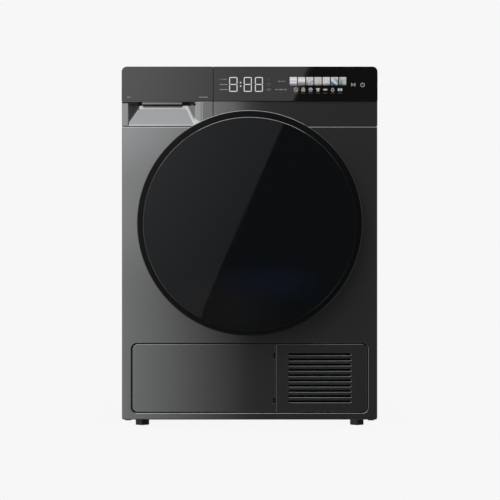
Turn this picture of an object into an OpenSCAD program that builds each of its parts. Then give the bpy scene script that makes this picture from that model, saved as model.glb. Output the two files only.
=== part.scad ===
// Heat pump clothes dryer with a round door, a water tank drawer and a service flap.
// Frame: origin on the floor under the middle of the machine, front towards -Y, +Z up.
// Sizes are in millimetres.

/* [Cabinet] */
// Width over the fascia and the worktop
machine_w = 600; // [590:1:610]
// Height from the floor to the top of the worktop
machine_h = 845; // [843:1:850]
// Depth from the front panel's face to the back of the side panels
cabinet_d = 590; // [585:1:600]
// Distance from the centre of the drum to the front panel's face
front_y = 282; // [280:1:290]
// Thickness of the steel sheet
sheet_t = 1.5; // [1:0.1:2]
// Height of the worktop's edge
worktop_h = 25; // [20:1:25]
// Radius along the worktop's upper edges
edge_r = 12; // [6:1:14]
// Height of the gap between the floor and the base tray
foot_gap = 18; // [16:1:20]
// Depth of the front shell, from the panel's face to the side panels
shell_d = 26; // [25:0.5:27]

/* [Fascia and drawer] */
// Height of the glass fascia
fascia_h = 81; // [78:1:84]
// How far the fascia stands proud of the front panel
fascia_proud = 3; // [3:0.5:5]
// Height of the band between the fascia and the front panel
band_h = 59.5; // [55:0.5:60]
// Distance of the seam right of the drawer from the middle
drawer_seam_x = 85; // [80:1:90]
// Width of the seams between the front pieces
seam = 0.8; // [0.6:0.1:1.2]
// Thickness of moulded walls
wall = 3; // [2.5:0.1:3.5]
// Depth of the water tank
tank_d = 440; // [400:5:450]
// Height of the water tank
tank_h = 58; // [50:1:59]

/* [Door] */
// Height of the door's and the drum's middle above the floor
door_z = 478; // [476:1:480]
// Outer radius of the door ring
door_r = 263; // [262:0.5:264]
// Radius of the door glass
glass_r = 248.5; // [247:0.5:249]
// Thickness of the door glass
glass_t = 3; // [2:0.5:3]
// How far the door stands out from the front panel
door_out = 38; // [38:0.5:40]
// Radius of the loading opening
opening_r = 190; // [188:1:192]
// Radius of the inner frame, which enters the loading opening
plug_r = 180; // [176:1:181]
// Radius of the door's hinge pin
hinge_pin_r = 3; // [2:0.5:3.5]

/* [Service flap and grille] */
// Height of the kick panel
kick_h = 161; // [150:1:162]
// Half width of the kick panel
kick_x = 276; // [270:1:277]
// Height of the kick panel's lower edge above the floor
kick_z = 35; // [34:0.5:40]
// Corner radius of the kick panel
kick_r = 12; // [8:1:16]
// Distance of the seam between the flap and the grille from the middle
flap_seam_x = 61; // [58:0.5:64]
// Number of louvres in the grille
louvres = 10; // [4:1:10]
// Distance from one louvre to the next
louvre_pitch = 12.3; // [11:0.1:13]

/* [Drum] */
// Outer radius of the drum
drum_r = 280; // [274:1:281]
// Depth of the drum
drum_d = 475; // [460:1:475]
// Thickness of the drum's sheet
drum_t = 1.2; // [0.8:0.1:2]
// Radius of the drum's shaft
shaft_r = 12; // [8:0.5:14]
// Radius of the support rollers
roller_r = 25; // [20:1:28]
// Angle of the support rollers from straight below the drum
roller_angle = 30; // [28:1:32]
// Number of lifters inside the drum
lifters = 3; // [2:1:4]

/* [Heat pump base] */
// Radius of the motor's can
motor_r = 52; // [44:1:54]
// Radius of the motor pulley, where the belt runs
pulley_r = 9; // [7:0.5:11]
// Radius of the idler pulley
idler_r = 18; // [14:1:20]
// Thickness of the belt
belt_t = 2; // [1.5:0.1:3]
// Width of the belt
belt_w = 10; // [6:0.5:11]
// Radius of the process air fan
blower_fan_r = 70; // [60:1:76]
// Radius of the cooling fan
cooling_fan_r = 52; // [44:1:54]
// Radius of the compressor's shell
compressor_r = 60; // [50:1:62]
// Height of the compressor's shell
compressor_h = 176; // [150:1:186]
// Bore of the mains cable's gland
gland_bore_r = 4.5; // [3:0.1:5]
// Outer radius of the drain spigot
spigot_r = 8; // [6:0.5:10]
// Width of a foot across its flats
foot_af = 31; // [26:1:34]

/* [Hidden] */

$fn = 96;
run = 0.05;      // radial clearance of a shaft in its bore
gap = 0.3;       // gap between a moving piece and its seat
play = 1;        // room around a piece that slides or lifts

// Cabinet
half_w = machine_w / 2;
face_y = -front_y;                     // front panel's face
fascia_y = face_y - fascia_proud;      // fascia's face
seam_y = face_y + shell_d;             // where the side panels and the worktop begin
back_y = face_y + cabinet_d;           // back of the side panels
rear_y = back_y - 40;                  // back of the rear panel
panel_y = rear_y - sheet_t;            // front of the rear panel
front_in_y = face_y + sheet_t;         // back of the front panel's sheet
shell_x = half_w - 1;                  // front shell, a little narrower than the fascia
lug_x = shell_x - 14;                  // small lugs under the front shell's lower corners
side_in_x = half_w - sheet_t;          // inner face of a side panel
worktop_z = machine_h - worktop_h;     // underside of the worktop
fascia_z = machine_h - fascia_h;       // lower edge of the fascia
band_z = fascia_z - band_h;            // lower edge of the band
tray_z = foot_gap;                     // underside of the base tray
floor_z = tray_z + 4;                  // floor of the base tray
tray_wall_z = 60;                      // top of the base tray's outer walls

// Door
door_y = face_y - door_out;            // front of the door
door_back_y = face_y - wall;           // back of the door ring
glass_y = door_y + 0.4;                // front of the door glass
ledge_y = glass_y + glass_t;           // back of the door glass, on its ledge
plug_y = face_y + 22;                  // rear end of the door's inner frame
window_r = plug_r - 12;
ring_back_r = door_r - 17;             // outer radius at the back of the ring
ring_in_r = ring_back_r - wall - 0.3;  // seat of the inner frame in the ring
door_gap = 4;                          // gap between the door and the drawer's front
hinge_x = door_r - 23;
hinge_y = face_y - 27.5;
hinge_arm_dz = 42;                     // from the door's middle to a hinge arm
hinge_arm_t = 6;
hinge_eye_r = hinge_pin_r + 3.4;
hinge_slot_x = opening_r + 16;                    // where the arms pass the front panel
arm_half = 4;
strike_x = -opening_r - 25;
grip_half = 45;                        // half the height of the grip recess

// Drum and its supports
drum_y0 = face_y + 67;
drum_y1 = drum_y0 + drum_d;
felt_h = 18;                           // width of a felt ring
bulkhead_y = drum_y0 - 4.5;            // rear face of the front bulkhead
bulkhead_t = 3;
tunnel_y = front_in_y;                 // front of the loading tunnel's flange
roller_c = drum_r + roller_r + gap;
roller_x = roller_c * sin(roller_angle);
roller_z = door_z - roller_c * cos(roller_angle);
roller_pin_r = 5;
bearing_r = shaft_r + 10;

// Lint filter
filter_x = 100;                        // half width
filter_y0 = face_y + 27;
filter_y1 = filter_y0 + 25;
shaft_wall = 3;                        // walls of the filter's shaft
shaft_in_x = filter_x + 3;
shaft_y0 = filter_y0 - 4;
shaft_y1 = filter_y1 + 5;
filter_top_r = opening_r - 0.5;        // the filter's top follows the tunnel

// Heat exchangers' channel
channel_x0 = 26.5 - side_in_x;
channel_x1 = channel_x0 + 327;
channel_z = 184;                       // top of the channel's walls
cover_z = channel_z + wall;            // top of the channel's cover
filter_z0 = cover_z + 5;               // lower edge of the lint filter
channel_y1 = face_y + 302;                       // end of the exchangers' channel
front_wall_y0 = seam_y;                // base tray's front wall
front_wall_y1 = seam_y + 6;
fin_x0 = channel_x0 + 6;
fin_x1 = channel_x1 - 15;
fin_z0 = floor_z + 4;
fin_z1 = channel_z - 4;
fin_depth = 100;
fin_t = 1.6;
fin_pitch = 6;
fin_plate_t = 2;                       // plates that join the fins above and below
evaporator_y = face_y + 120;                   // middle of the evaporator
condenser_y = face_y + 230;                     // middle of the condenser

// Process fan, motor and belt
motor_x = channel_x0 + 67;
motor_z = 150;
blower_r = blower_fan_r + 15;
blower_y0 = channel_y1 + wall;
blower_y1 = blower_y0 + 78;
motor_y0 = blower_y1 + 8;
motor_y1 = motor_y0 + 104;
belt_y = drum_y1 - 30;                          // front edge of the belt
duct_x0 = motor_x - 35;
duct_x1 = motor_x + 75;
duct_z0 = floor_z + 14;
duct_z1 = 94;
duct_r = 232;                          // rear duct, before the drum
motor_shaft_r = pulley_r - 2;
idler_x = motor_x + 55;
idler_z = motor_z - 6;
arm_x = idler_x + 50;                          // pivot of the tension arm
arm_z = 80;
arm_y0 = belt_y + belt_w + 6;
arm_y1 = arm_y0 + 6;
arm_pin_r = 5;

// Water tank
scoop_depth = 27;                      // deepest place of the drawer's grip
housing_wall = 2;
rail_h = 1.7;
tank_x0 = 12 - half_w;
tank_x1 = -drawer_seam_x - 12;
tank_y0 = face_y + scoop_depth + wall;
tank_y1 = tank_y0 + tank_d;
tank_z0 = fascia_z - 8;
tank_z1 = tank_z0 + tank_h;
housing_z0 = tank_z0 - gap - rail_h - housing_wall;
housing_y1 = tank_y1 + 12;

// Kick panel
kick_z1 = kick_z + kick_h;
flap_gap = 1.2;
flap_x1 = flap_seam_x - seam / 2;
flap_t = 12;
flap_y0 = face_y + 0.6;                // front of the flap and the grille
flap_edge_t = 6.4;                     // thickness of the flap beside its hinge
flap_pin_r = 1.5;
flap_hinge_x = flap_x1 - flap_edge_t / 2;
flap_hinge_y = flap_y0 + flap_edge_t / 2;
flap_hinge_z = [kick_z + 26.5, kick_z1 - 29];
lug_t = 11;
notch_h = 14;
grille_x0 = flap_seam_x + seam / 2 + 0.2;
louvre_x0 = flap_seam_x + 29.6;
louvre_x1 = kick_x - 37.7;
louvre_h = 5;
louvre_top_z = kick_z1 - 24.4;

// Hatch before the evaporator, with its two levers
hatch_x0 = channel_x0 + 24;
hatch_x1 = channel_x1 - 24;
hatch_z0 = 40;
hatch_z1 = channel_z - 6;
hatch_lap = 4;
lever_x = [hatch_x0 - 14, hatch_x1 + 14];
lever_z = 118;
lever_pin_r = 4;
lever_t = 5;

// Cooling fan
fan_x = half_w - 130;
fan_z = 115;
fan_depth = 25;
fan_half = cooling_fan_r + 8;
fan_pin_r = 4;

// Compressor and pump
compressor_x = half_w - 95;
compressor_y = back_y - 178;
compressor_z = floor_z + 22;
pipe_r = 4;
pipe_z = 160;
pump_x = 50;
pump_y = back_y - 86;
pump_half = 28;
pump_h = 44;
pump_motor_h = 36;
pump_motor_r = 17;
hose_start_z = floor_z + 28;
hose_r = 5;
hose_x = side_in_x - 10;
hose_y = rear_y - 16;
hose_z = worktop_z - 30;

// Display board behind the fascia
board_x0 = 25 - drawer_seam_x;
board_x1 = half_w - 15;
board_y = face_y + 3.5;
board_t = 1.6;
board_posts_x = [board_x0 + 10, board_x0 + 150, board_x1 - 10];

// Screws on the rear panel's edges
screw_z0 = tray_wall_z + 30;

// Feet
foot_x = half_w - 45;
foot_front_y = face_y + 47;
foot_rear_y = back_y - 58;
foot_stem_r = 5;
foot_boss_h = 28;

// Block between two corners
module block(x0, x1, y0, y1, z0, z1) {
    translate([x0, y0, z0]) cube([x1 - x0, y1 - y0, z1 - z0]);
}

// Cylinder along Y
module y_rod(x, z, y0, y1, r) {
    translate([x, y1, z]) rotate([90, 0, 0]) cylinder(h = y1 - y0, r = r);
}

// Cylinder along Z
module z_rod(x, y, z0, z1, r) {
    translate([x, y, z0]) cylinder(h = z1 - z0, r = r);
}

// Tube along Y
module y_tube(x, z, y0, y1, r_out, r_in) {
    difference() {
        y_rod(x, z, y0, y1, r_out);
        y_rod(x, z, y0 - 1, y1 + 1, r_in);
    }
}

// Plate from y0 to y1, from an outline in X and Z
module y_plate(y0, y1) {
    translate([0, y1, 0]) rotate([90, 0, 0]) linear_extrude(height = y1 - y0) children();
}

// Body turned about the door's and drum's axis, from a profile of radius and -Y
module about_axis() {
    translate([0, 0, door_z]) rotate([90, 0, 0]) rotate_extrude($fn = 144) children();
}

// Outline of a rectangle with rounded corners, as [lower left, lower right, upper right, upper left]
module rounded(x0, x1, z0, z1, r = [0, 0, 0, 0]) {
    c = [[x0, z0, 1, 1], [x1, z0, -1, 1], [x1, z1, -1, -1], [x0, z1, 1, -1]];
    difference() {
        translate([x0, z0]) square([x1 - x0, z1 - z0]);
        for (i = [0:3]) if (r[i] > 0) corner_cut(c[i], r[i]);
    }
}

// What a corner loses when it is rounded
module corner_cut(c, r) {
    difference() {
        translate([c[0] - (c[2] > 0 ? 1 : r), c[1] - (c[3] > 0 ? 1 : r)]) square(r + 1);
        translate([c[0] + c[2] * r, c[1] + c[3] * r]) circle(r = r);
    }
}

// ---- Cabinet ----

module base_tray() {
    color("dimgray") difference() {
        union() {
            block(-side_in_x + 0.5, side_in_x - 0.5, front_wall_y0, back_y - 8, tray_z, floor_z);
            for (s = [-1, 1]) tray_side_wall(s);
            block(-side_in_x + 4.5, side_in_x - 4.5, panel_y - 4, panel_y, floor_z, tray_wall_z);
            tray_front_wall();
            tray_channel_walls();
            for (x = [-foot_x, foot_x], y = [foot_front_y, foot_rear_y])
                z_rod(x, y, tray_z, tray_z + foot_boss_h, foot_stem_r + 4);
            tray_supports();
            for (x = lever_x) y_rod(x, lever_z, front_wall_y0 - 9.5, front_wall_y0, lever_pin_r);
            y_rod(120, floor_z + 23, back_y - 12, back_y + 12, spigot_r);
            block(108, 132, back_y - 14, back_y - 8, floor_z, floor_z + 36);
        }
        y_rod(120, floor_z + 23, back_y - 20, back_y + 13, spigot_r - 3);
        block(duct_x0, duct_x1, panel_y - 5, panel_y + 1, duct_z0, duct_z1);
        for (x = [-foot_x, foot_x], y = [foot_front_y, foot_rear_y])
            z_rod(x, y, tray_z - 1, tray_z + foot_boss_h - 2, foot_stem_r + run);
    }
}

module tray_side_wall(s) {
    x0 = side_in_x - 3.5;
    x1 = side_in_x - 0.5;
    block(s > 0 ? x0 : -x1, s > 0 ? x1 : -x0, front_wall_y0, back_y - 8, floor_z, tray_wall_z);
}

module tray_front_wall() {
    difference() {
        block(-side_in_x + 8.5, side_in_x - 8.5, front_wall_y0, front_wall_y1, floor_z, channel_z);
        block(hatch_x0 + hatch_lap, hatch_x1 - hatch_lap, front_wall_y0 - 1, front_wall_y1 + 1,
            hatch_z0 + hatch_lap, hatch_z1 - hatch_lap);
        y_rod(fan_x, fan_z, front_wall_y0 - 1, front_wall_y1 + 1, cooling_fan_r + 3);
    }
}

module tray_channel_walls() {
    block(channel_x0, channel_x0 + wall, front_wall_y1, channel_y1, floor_z, channel_z);
    difference() {
        block(channel_x1 - wall, channel_x1, front_wall_y1, channel_y1, floor_z, channel_z);
        for (y = [evaporator_y, condenser_y])
            translate([channel_x1 - 5, y, pipe_z]) rotate([0, 90, 0]) cylinder(h = 10, r = pipe_r + 2);
    }
    difference() {
        block(channel_x0, channel_x1, channel_y1, channel_y1 + wall, floor_z, channel_z);
        y_rod(motor_x, motor_z, channel_y1 - 1, channel_y1 + wall + 1, blower_fan_r - 20);
    }
}

// Ribs and cradles that carry the heat exchangers, the blower, the motor and the compressor
module tray_supports() {
    for (x = [-240, -100, 20])
        block(x, x + 6, front_wall_y1, channel_y1, floor_z, fin_z0);
    difference() {
        union() {
            for (y = [motor_y0 + 14, motor_y1 - 24])
                block(duct_x0 - 10, duct_x1 + 12, y, y + 8, floor_z, motor_z - 30);
            block(motor_x - 40, motor_x + 40, blower_y0 + 20, blower_y0 + 40, floor_z, motor_z - 50);
        }
        y_rod(motor_x, motor_z, motor_y0, motor_y1, motor_r + 0.1);
        y_rod(motor_x, motor_z, blower_y0, motor_y0, blower_r);
        block(duct_x0, duct_x1, blower_y0, panel_y, duct_z0, duct_z1);
    }
    block(arm_x - 14, arm_x + 14, arm_y1 + 2, arm_y1 + 6, floor_z, arm_z + 14);
    y_rod(arm_x, arm_z, arm_y0 - 2, arm_y1 + 2, arm_pin_r);
    for (a = [90, 210, 330])
        z_rod(compressor_x + 45 * cos(a), compressor_y + 45 * sin(a), floor_z, compressor_z, 9);
}

module base_cover() {
    color("gray") difference() {
        block(channel_x0, channel_x1, front_wall_y0, channel_y1 + wall, channel_z, cover_z);
        block(-shaft_in_x, shaft_in_x, shaft_y0, shaft_y1, channel_z - 1, cover_z + 1);
    }
}

module side_panel(s) {
    x1 = half_w;
    x0 = side_in_x;
    lip = 12;
    mirror([s > 0 ? 0 : 1, 0, 0]) {
        block(x0, x1, seam_y, back_y, tray_z + 2, worktop_z);
        block(x0 - lip, x0, back_y - sheet_t, back_y, tray_wall_z + 2, worktop_z);
        block(x0 - lip, x0, seam_y, seam_y + sheet_t, channel_z + 8, door_z + 220);
    }
}

module left_side_panel() { color("dimgray") side_panel(-1); }
module right_side_panel() { color("dimgray") side_panel(1); }

module rear_panel() {
    color("gray") difference() {
        y_plate(panel_y, rear_y) rear_outline();
        y_rod(0, door_z, panel_y - 1, rear_y + 1, bearing_r);
        for (a = [0:15:345])
            y_rod(190 * cos(a), door_z + 190 * sin(a), panel_y - 1, rear_y + 1, 14);
        block(duct_x0 + wall, duct_x1 - wall, panel_y - 1, rear_y + 1, duct_z0 + wall, duct_z1 - wall);
        y_rod(240, worktop_z - 60, panel_y - 1, rear_y + 1, gland_bore_r + 5.5);
        for (z = [110:14:250]) translate([0, panel_y - 1, z]) cube([90, 4, 5]);
    }
}

module rear_outline() {
    translate([-side_in_x + 0.2, tray_wall_z + 0.3])
        square([2 * side_in_x - 0.4, worktop_z - tray_wall_z - 0.5]);
    translate([-side_in_x + 5, floor_z + 0.3]) square([2 * side_in_x - 10, tray_wall_z - floor_z + 1]);
}

// Outline of the rear duct: round before the drum, with a neck down to the blower's duct
module duct_outline(inset) {
    x0 = duct_x0 - 18 + inset;
    x1 = duct_x1 + 18 - inset;
    z0 = duct_z0 - 2 + inset;
    z1 = duct_z1 + 80;
    translate([0, door_z]) circle(r = duct_r - inset);
    rounded(x0, x1, z0, z1, [20 - inset / 2, 20 - inset / 2, 0, 0]);
    polygon([[x0, z1 - 1], [x1, z1 - 1], [0.85 * duct_r - inset, door_z - 0.5 * duct_r],
        [0, door_z], [-duct_r + inset, door_z]]);
}

module rear_duct_cover() {
    color("darkgray") {
        difference() {
            y_plate(rear_y, back_y - 2) duct_outline(0);
            y_plate(rear_y - 1, back_y - 2 - sheet_t) duct_outline(sheet_t);
        }
        difference() {
            y_plate(rear_y, rear_y + sheet_t) duct_outline(-10);
            y_plate(rear_y - 1, rear_y + sheet_t + 1) duct_outline(0);
        }
    }
}

module worktop_outline(inset) {
    x = half_w - inset;
    rounded(-x, x, worktop_z, machine_h - inset, [0, 0, edge_r, edge_r]);
}

module top_panel() {
    color("dimgray") difference() {
        y_plate(seam_y, back_y) worktop_outline(0);
        block(-half_w + 15, half_w - 15, seam_y + 6, back_y - 12, worktop_z - 1, machine_h - 7);
    }
}

module kick_outline(x0, x1, inset, corners) {
    r = kick_r - inset;
    rounded(x0, x1, kick_z + inset, kick_z1 - inset, [for (c = corners) c * r]);
}

module front_panel() {
    color("dimgray") difference() {
        union() {
            y_plate(face_y, front_in_y) translate([-shell_x, tray_z])
                square([2 * shell_x, band_z - tray_z]);
            for (s = [0, 1]) mirror([s, 0, 0])
                block(shell_x - sheet_t, shell_x, front_in_y, seam_y, tray_z, band_z);
            block(-shell_x, shell_x, front_in_y, seam_y - 1, tray_z, tray_z + sheet_t);
            y_plate(front_in_y, front_in_y + 8)
                kick_outline(-kick_x - 3, kick_x + 3, -3, [1, 1, 1, 1]);
            for (s = [-1, 1]) block(s * lug_x - 7, s * lug_x + 7, face_y + 3, face_y + 14, tray_z - 2, tray_z);
        }
        y_rod(0, door_z, face_y - 1, front_in_y + 1, opening_r + 6.3);
        y_plate(face_y - 1, front_in_y + 9) kick_outline(-kick_x - 1.2, kick_x + 1.2, -1.2, [1, 1, 1, 1]);
        for (s = [-1, 1]) block(hinge_slot_x - 5, hinge_slot_x + 9, face_y - 1, front_in_y + 1,
            door_z + s * hinge_arm_dz - 4.5, door_z + s * hinge_arm_dz + 4.5);
        block(strike_x - 11, strike_x + 8, face_y - 1, front_in_y + 1, door_z - 14, door_z + 14);
    }
}

module control_frame() {
    x0 = -drawer_seam_x + seam / 2;
    color("dimgray") difference() {
        union() {
            y_plate(face_y - 1, seam_y)
                rounded(x0, half_w, fascia_z, machine_h, [0, 0, edge_r, 0]);
            block(x0, shell_x, face_y, face_y + wall, band_z + seam, fascia_z);
            block(x0, x0 + wall, face_y, seam_y, band_z + seam, fascia_z);
            block(shell_x - wall, shell_x, face_y, seam_y, band_z + seam, fascia_z);
        }
        block(x0 + wall, half_w - 5, face_y + 1.5, seam_y + 1, fascia_z + wall, machine_h - 5);
    }
}

module display_glass() {
    x0 = -drawer_seam_x + seam / 2;
    color("black") y_plate(fascia_y, face_y - 1)
        rounded(x0, half_w, fascia_z, machine_h, [0, 0, edge_r, 0]);
}

module display_board() {
    color("darkgreen") difference() {
        union() {
            block(board_x0, board_x1, board_y, board_y + board_t, fascia_z + 8, machine_h - 10);
            for (x = board_posts_x, z = [fascia_z + 14, machine_h - 16])
                y_rod(x, z, face_y + 1.5, board_y, 3);
            block(board_x0 + 100, board_x1 - 70, board_y + board_t, board_y + 7.5, fascia_z + 22, machine_h - 18);
            block(board_x1 - 55, board_x1 - 23, board_y + board_t, board_y + 9.5, fascia_z + 20, fascia_z + 36);
        }
        for (x = [board_posts_x[0], board_posts_x[1]], z = [fascia_z + 14, machine_h - 16])
            y_rod(x, z, face_y, face_y + 9, 1.3);
    }
}

module door_catch() {
    color("silver") difference() {
        block(strike_x - 15, strike_x + 10, front_in_y, front_in_y + 27, door_z - 20, door_z + 20);
        block(strike_x - 12, strike_x + 7.5, front_in_y - 1, front_in_y + 24, door_z - 15, door_z + 15);
    }
}

module hinge_bracket() {
    color("silver") difference() {
        union() {
            block(hinge_slot_x - arm_half, hinge_slot_x + 30, front_in_y, front_in_y + 3,
                door_z - 60, door_z + 60);
            for (s = [-1, 1]) translate([0, 0, door_z + s * hinge_arm_dz - hinge_arm_t / 2]) hinge_arm();
        }
        z_rod(hinge_x, hinge_y, door_z - 70, door_z + 70, hinge_pin_r + run);
    }
}

// Bent arm from the panel to the hinge pin
module hinge_arm() {
    block(hinge_slot_x - arm_half, hinge_slot_x + arm_half, hinge_y - arm_half, front_in_y, 0, hinge_arm_t);
    block(hinge_slot_x, hinge_x, hinge_y - arm_half, hinge_y + arm_half, 0, hinge_arm_t);
    z_rod(hinge_x, hinge_y, 0, hinge_arm_t, hinge_eye_r);
}

// ---- Front bulkhead and drum supports ----

module front_bulkhead() {
    y1 = bulkhead_y;
    y0 = bulkhead_y - bulkhead_t;
    color("gray") difference() {
        union() {
            y_plate(y0, y1) bulkhead_outline();
            y_tube(0, door_z, tunnel_y, y1, opening_r + wall, opening_r);
            y_tube(0, door_z, tunnel_y, tunnel_y + wall, opening_r + 10, opening_r);
            block(-shaft_in_x - shaft_wall, shaft_in_x + shaft_wall, shaft_y0 - shaft_wall, y0 + 1,
                cover_z, door_z - opening_r + 32);
            for (s = [-1, 1]) y_rod(s * roller_x, roller_z, y1, y1 + 24, roller_pin_r);
        }
        y_rod(0, door_z, tunnel_y - 1, y1 + 1, opening_r);
        block(-shaft_in_x, shaft_in_x, shaft_y0, shaft_y1, cover_z - 1, door_z);
    }
    for (s = [-1, 1])
        color("gray") block(s * (filter_x - 1) - 4, s * (filter_x - 1) + 4, shaft_y0, shaft_y1,
            cover_z, filter_z0 - gap);
}

module bulkhead_outline() {
    x = side_in_x - 0.2;
    difference() {
        translate([-x, cover_z]) square([2 * x, housing_z0 - cover_z]);
        translate([0, door_z]) circle(r = opening_r);
    }
}

module door_seal() {
    color("darkslategray") about_axis() {
        translate([opening_r + 0.2, -front_in_y]) square([5.8, 2]);
        translate([opening_r + 3, -front_in_y + 2.2]) circle(r = 2.1, $fn = 24);
    }
}

module drum_felts() {
    color("ivory") {
        y_tube(0, door_z, bulkhead_y, drum_y0 - gap, drum_r - 1, drum_r - 1 - felt_h);
        y_tube(0, door_z, drum_y1 + gap, panel_y, drum_r - 1, drum_r - 1 - felt_h);
    }
}

module drum_shell() {
    color("silver") {
        y_tube(0, door_z, drum_y0, drum_y1, drum_r, drum_r - drum_t);
        y_tube(0, door_z, drum_y0, drum_y0 + 1.5, drum_r - drum_t, drum_r - felt_h);
    }
}

module drum_back() {
    color("silver") difference() {
        union() {
            y_rod(0, door_z, drum_y1 - 2, drum_y1, drum_r - drum_t);
            y_rod(0, door_z, drum_y1 - 14, drum_y1 - 2, bearing_r + 18);
            y_rod(0, door_z, drum_y1, rear_y + 16, shaft_r);
        }
        for (ring = [0:2], a = [0:15:345])
            translate([0, 0, door_z]) rotate([0, a + 7.5 * ring, 0])
                y_rod(130 + 45 * ring, 0, drum_y1 - 3, drum_y1 + 1, 9);
    }
}

module drum_lifters() {
    color("lightgray") for (i = [0:lifters - 1])
        translate([0, 0, door_z]) rotate([0, 60 + 360 / lifters * i, 0]) lifter();
}

// Hollow ridge along the drum, with a rounded crest
module lifter() {
    r0 = drum_r - drum_t;
    half = 34;
    seat = sqrt(r0 * r0 - half * half);
    y_plate(drum_y0 + 25, drum_y1 - 12) difference() {
        intersection() {
            circle(r = r0 - 0.1);
            union() {
                polygon([[seat + 6, -half], [seat + 6, half], [seat - 44, 14], [seat - 44, -14]]);
                translate([seat - 44, 0]) circle(r = 14);
            }
        }
        polygon([[seat + 9, 9 - half], [seat + 9, half - 9], [seat - 40, 10], [seat - 40, -10]]);
    }
}

module drum_bearing() {
    color("silver") difference() {
        union() {
            y_rod(0, door_z, panel_y, rear_y + 14, bearing_r);
            y_rod(0, door_z, rear_y, rear_y + 3, bearing_r + 14);
        }
        y_rod(0, door_z, panel_y - 1, rear_y + 15, shaft_r + run);
    }
}

module roller(s) {
    y0 = bulkhead_y + 3;
    color("darkslategray") difference() {
        union() {
            y_rod(s * roller_x, roller_z, y0 + 2, y0 + 16, roller_r);
            y_rod(s * roller_x, roller_z, y0, y0 + 18, roller_pin_r + 5);
        }
        y_rod(s * roller_x, roller_z, y0 - 1, y0 + 19, roller_pin_r + run);
    }
}

module roller_left() { roller(-1); }
module roller_right() { roller(1); }

// ---- Motor, blower and belt ----

module motor_housing() {
    color("lightsteelblue") difference() {
        union() {
            y_rod(motor_x, motor_z, motor_y0, motor_y1, motor_r);
            y_rod(motor_x, motor_z, motor_y0 - 4, motor_y1 + 4, 20);
            block(motor_x - 30, motor_x + 30, motor_y0 + 30, motor_y1 - 30, motor_z + motor_r - 6,
                motor_z + motor_r + 10);
        }
        y_rod(motor_x, motor_z, motor_y0 - 5, motor_y1 + 5, motor_shaft_r + run);
    }
}

module motor_shaft() {
    color("silver") {
        y_rod(motor_x, motor_z, blower_y0 + 12, belt_y + belt_w + 4, motor_shaft_r);
        y_rod(motor_x, motor_z, belt_y - 4, belt_y + belt_w + 4, pulley_r);
        for (y = [belt_y - 4, belt_y + belt_w + 2])
            y_rod(motor_x, motor_z, y, y + 2, pulley_r + 4);
    }
}

module process_fan() {
    hub_r = motor_shaft_r + 8;
    y0 = blower_y0 + 14;
    y1 = blower_y1 - 12;
    color("black") difference() {
        union() {
            y_rod(motor_x, motor_z, y0 + 10, y1, hub_r);
            y_rod(motor_x, motor_z, y1 - 2, y1, blower_fan_r);
            y_tube(motor_x, motor_z, y0, y0 + 3, blower_fan_r, blower_fan_r - 14);
            for (a = [0:15:345]) translate([motor_x, 0, motor_z]) rotate([0, a, 0])
                translate([blower_fan_r - 8, y0, 0]) rotate([0, 25, 0])
                    block(-6, 6, 0, y1 - y0, -0.8, 0.8);
        }
        y_rod(motor_x, motor_z, y0 - 1, y1 + 1, motor_shaft_r);
    }
}

module blower_housing() {
    t = 2.5;
    color("dimgray") difference() {
        union() {
            y_rod(motor_x, motor_z, blower_y0, blower_y1, blower_r);
            block(duct_x0, duct_x1, blower_y0 + 4, panel_y, duct_z0, duct_z1);
        }
        y_rod(motor_x, motor_z, blower_y0 + t, blower_y1 - t, blower_r - t);
        block(duct_x0 + t, duct_x1 - t, blower_y0 + 4 + t, panel_y + 1, duct_z0 + t, duct_z1 - t);
        y_rod(motor_x, motor_z, blower_y0 - 1, blower_y0 + t + 1, blower_fan_r - 20);
        y_rod(motor_x, motor_z, blower_y1 - t - 1, blower_y1 + 1, motor_shaft_r + 2);
    }
}

// The belt runs round these circles: [x, z, radius, side], side 1 inside the loop and -1 outside
function belt_circles() = [
    [0, door_z, drum_r + gap, 1],
    [motor_x, motor_z, pulley_r + gap, 1],
    [idler_x, idler_z, idler_r + gap, -1]
];

// Angle of the normal at which a straight stretch leaves circle a and meets circle b
function belt_normal(a, b) =
    let (dx = b[0] - a[0], dz = b[1] - a[1], d = sqrt(dx * dx + dz * dz))
    atan2(dz, dx) - acos((a[3] * belt_reach(a) - b[3] * belt_reach(b)) / d);

// From a circle's middle to the middle of the belt
function belt_reach(c) = c[2] + belt_t / 2;

// Where the belt lies on one circle: t is 0 on its inner face and belt_t on its outer face
function belt_point(c, angle, t) =
    let (r = c[2] + (c[3] > 0 ? t : belt_t - t))
    [c[0] + c[3] * r * cos(angle), c[1] + c[3] * r * sin(angle)];

// Round stretch on circle i, between the straight stretches that meet it
function belt_arc(i, t) =
    let (c = belt_circles(), n0 = belt_normal(c[(i + 2) % 3], c[i]), n1 = belt_normal(c[i], c[(i + 1) % 3]),
        turn = c[i][3] * ((c[i][3] * (n1 - n0) + 720) % 360), steps = ceil(abs(turn) / 3))
    [for (k = [0:steps]) belt_point(c[i], n0 + turn * k / steps, t)];

module drum_belt() {
    color("black") y_plate(belt_y, belt_y + belt_w) difference() {
        polygon([for (i = [0:2]) each belt_arc(i, belt_t)]);
        polygon([for (i = [0:2]) each belt_arc(i, 0)]);
    }
}

// ---- Heat pump ----

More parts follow.
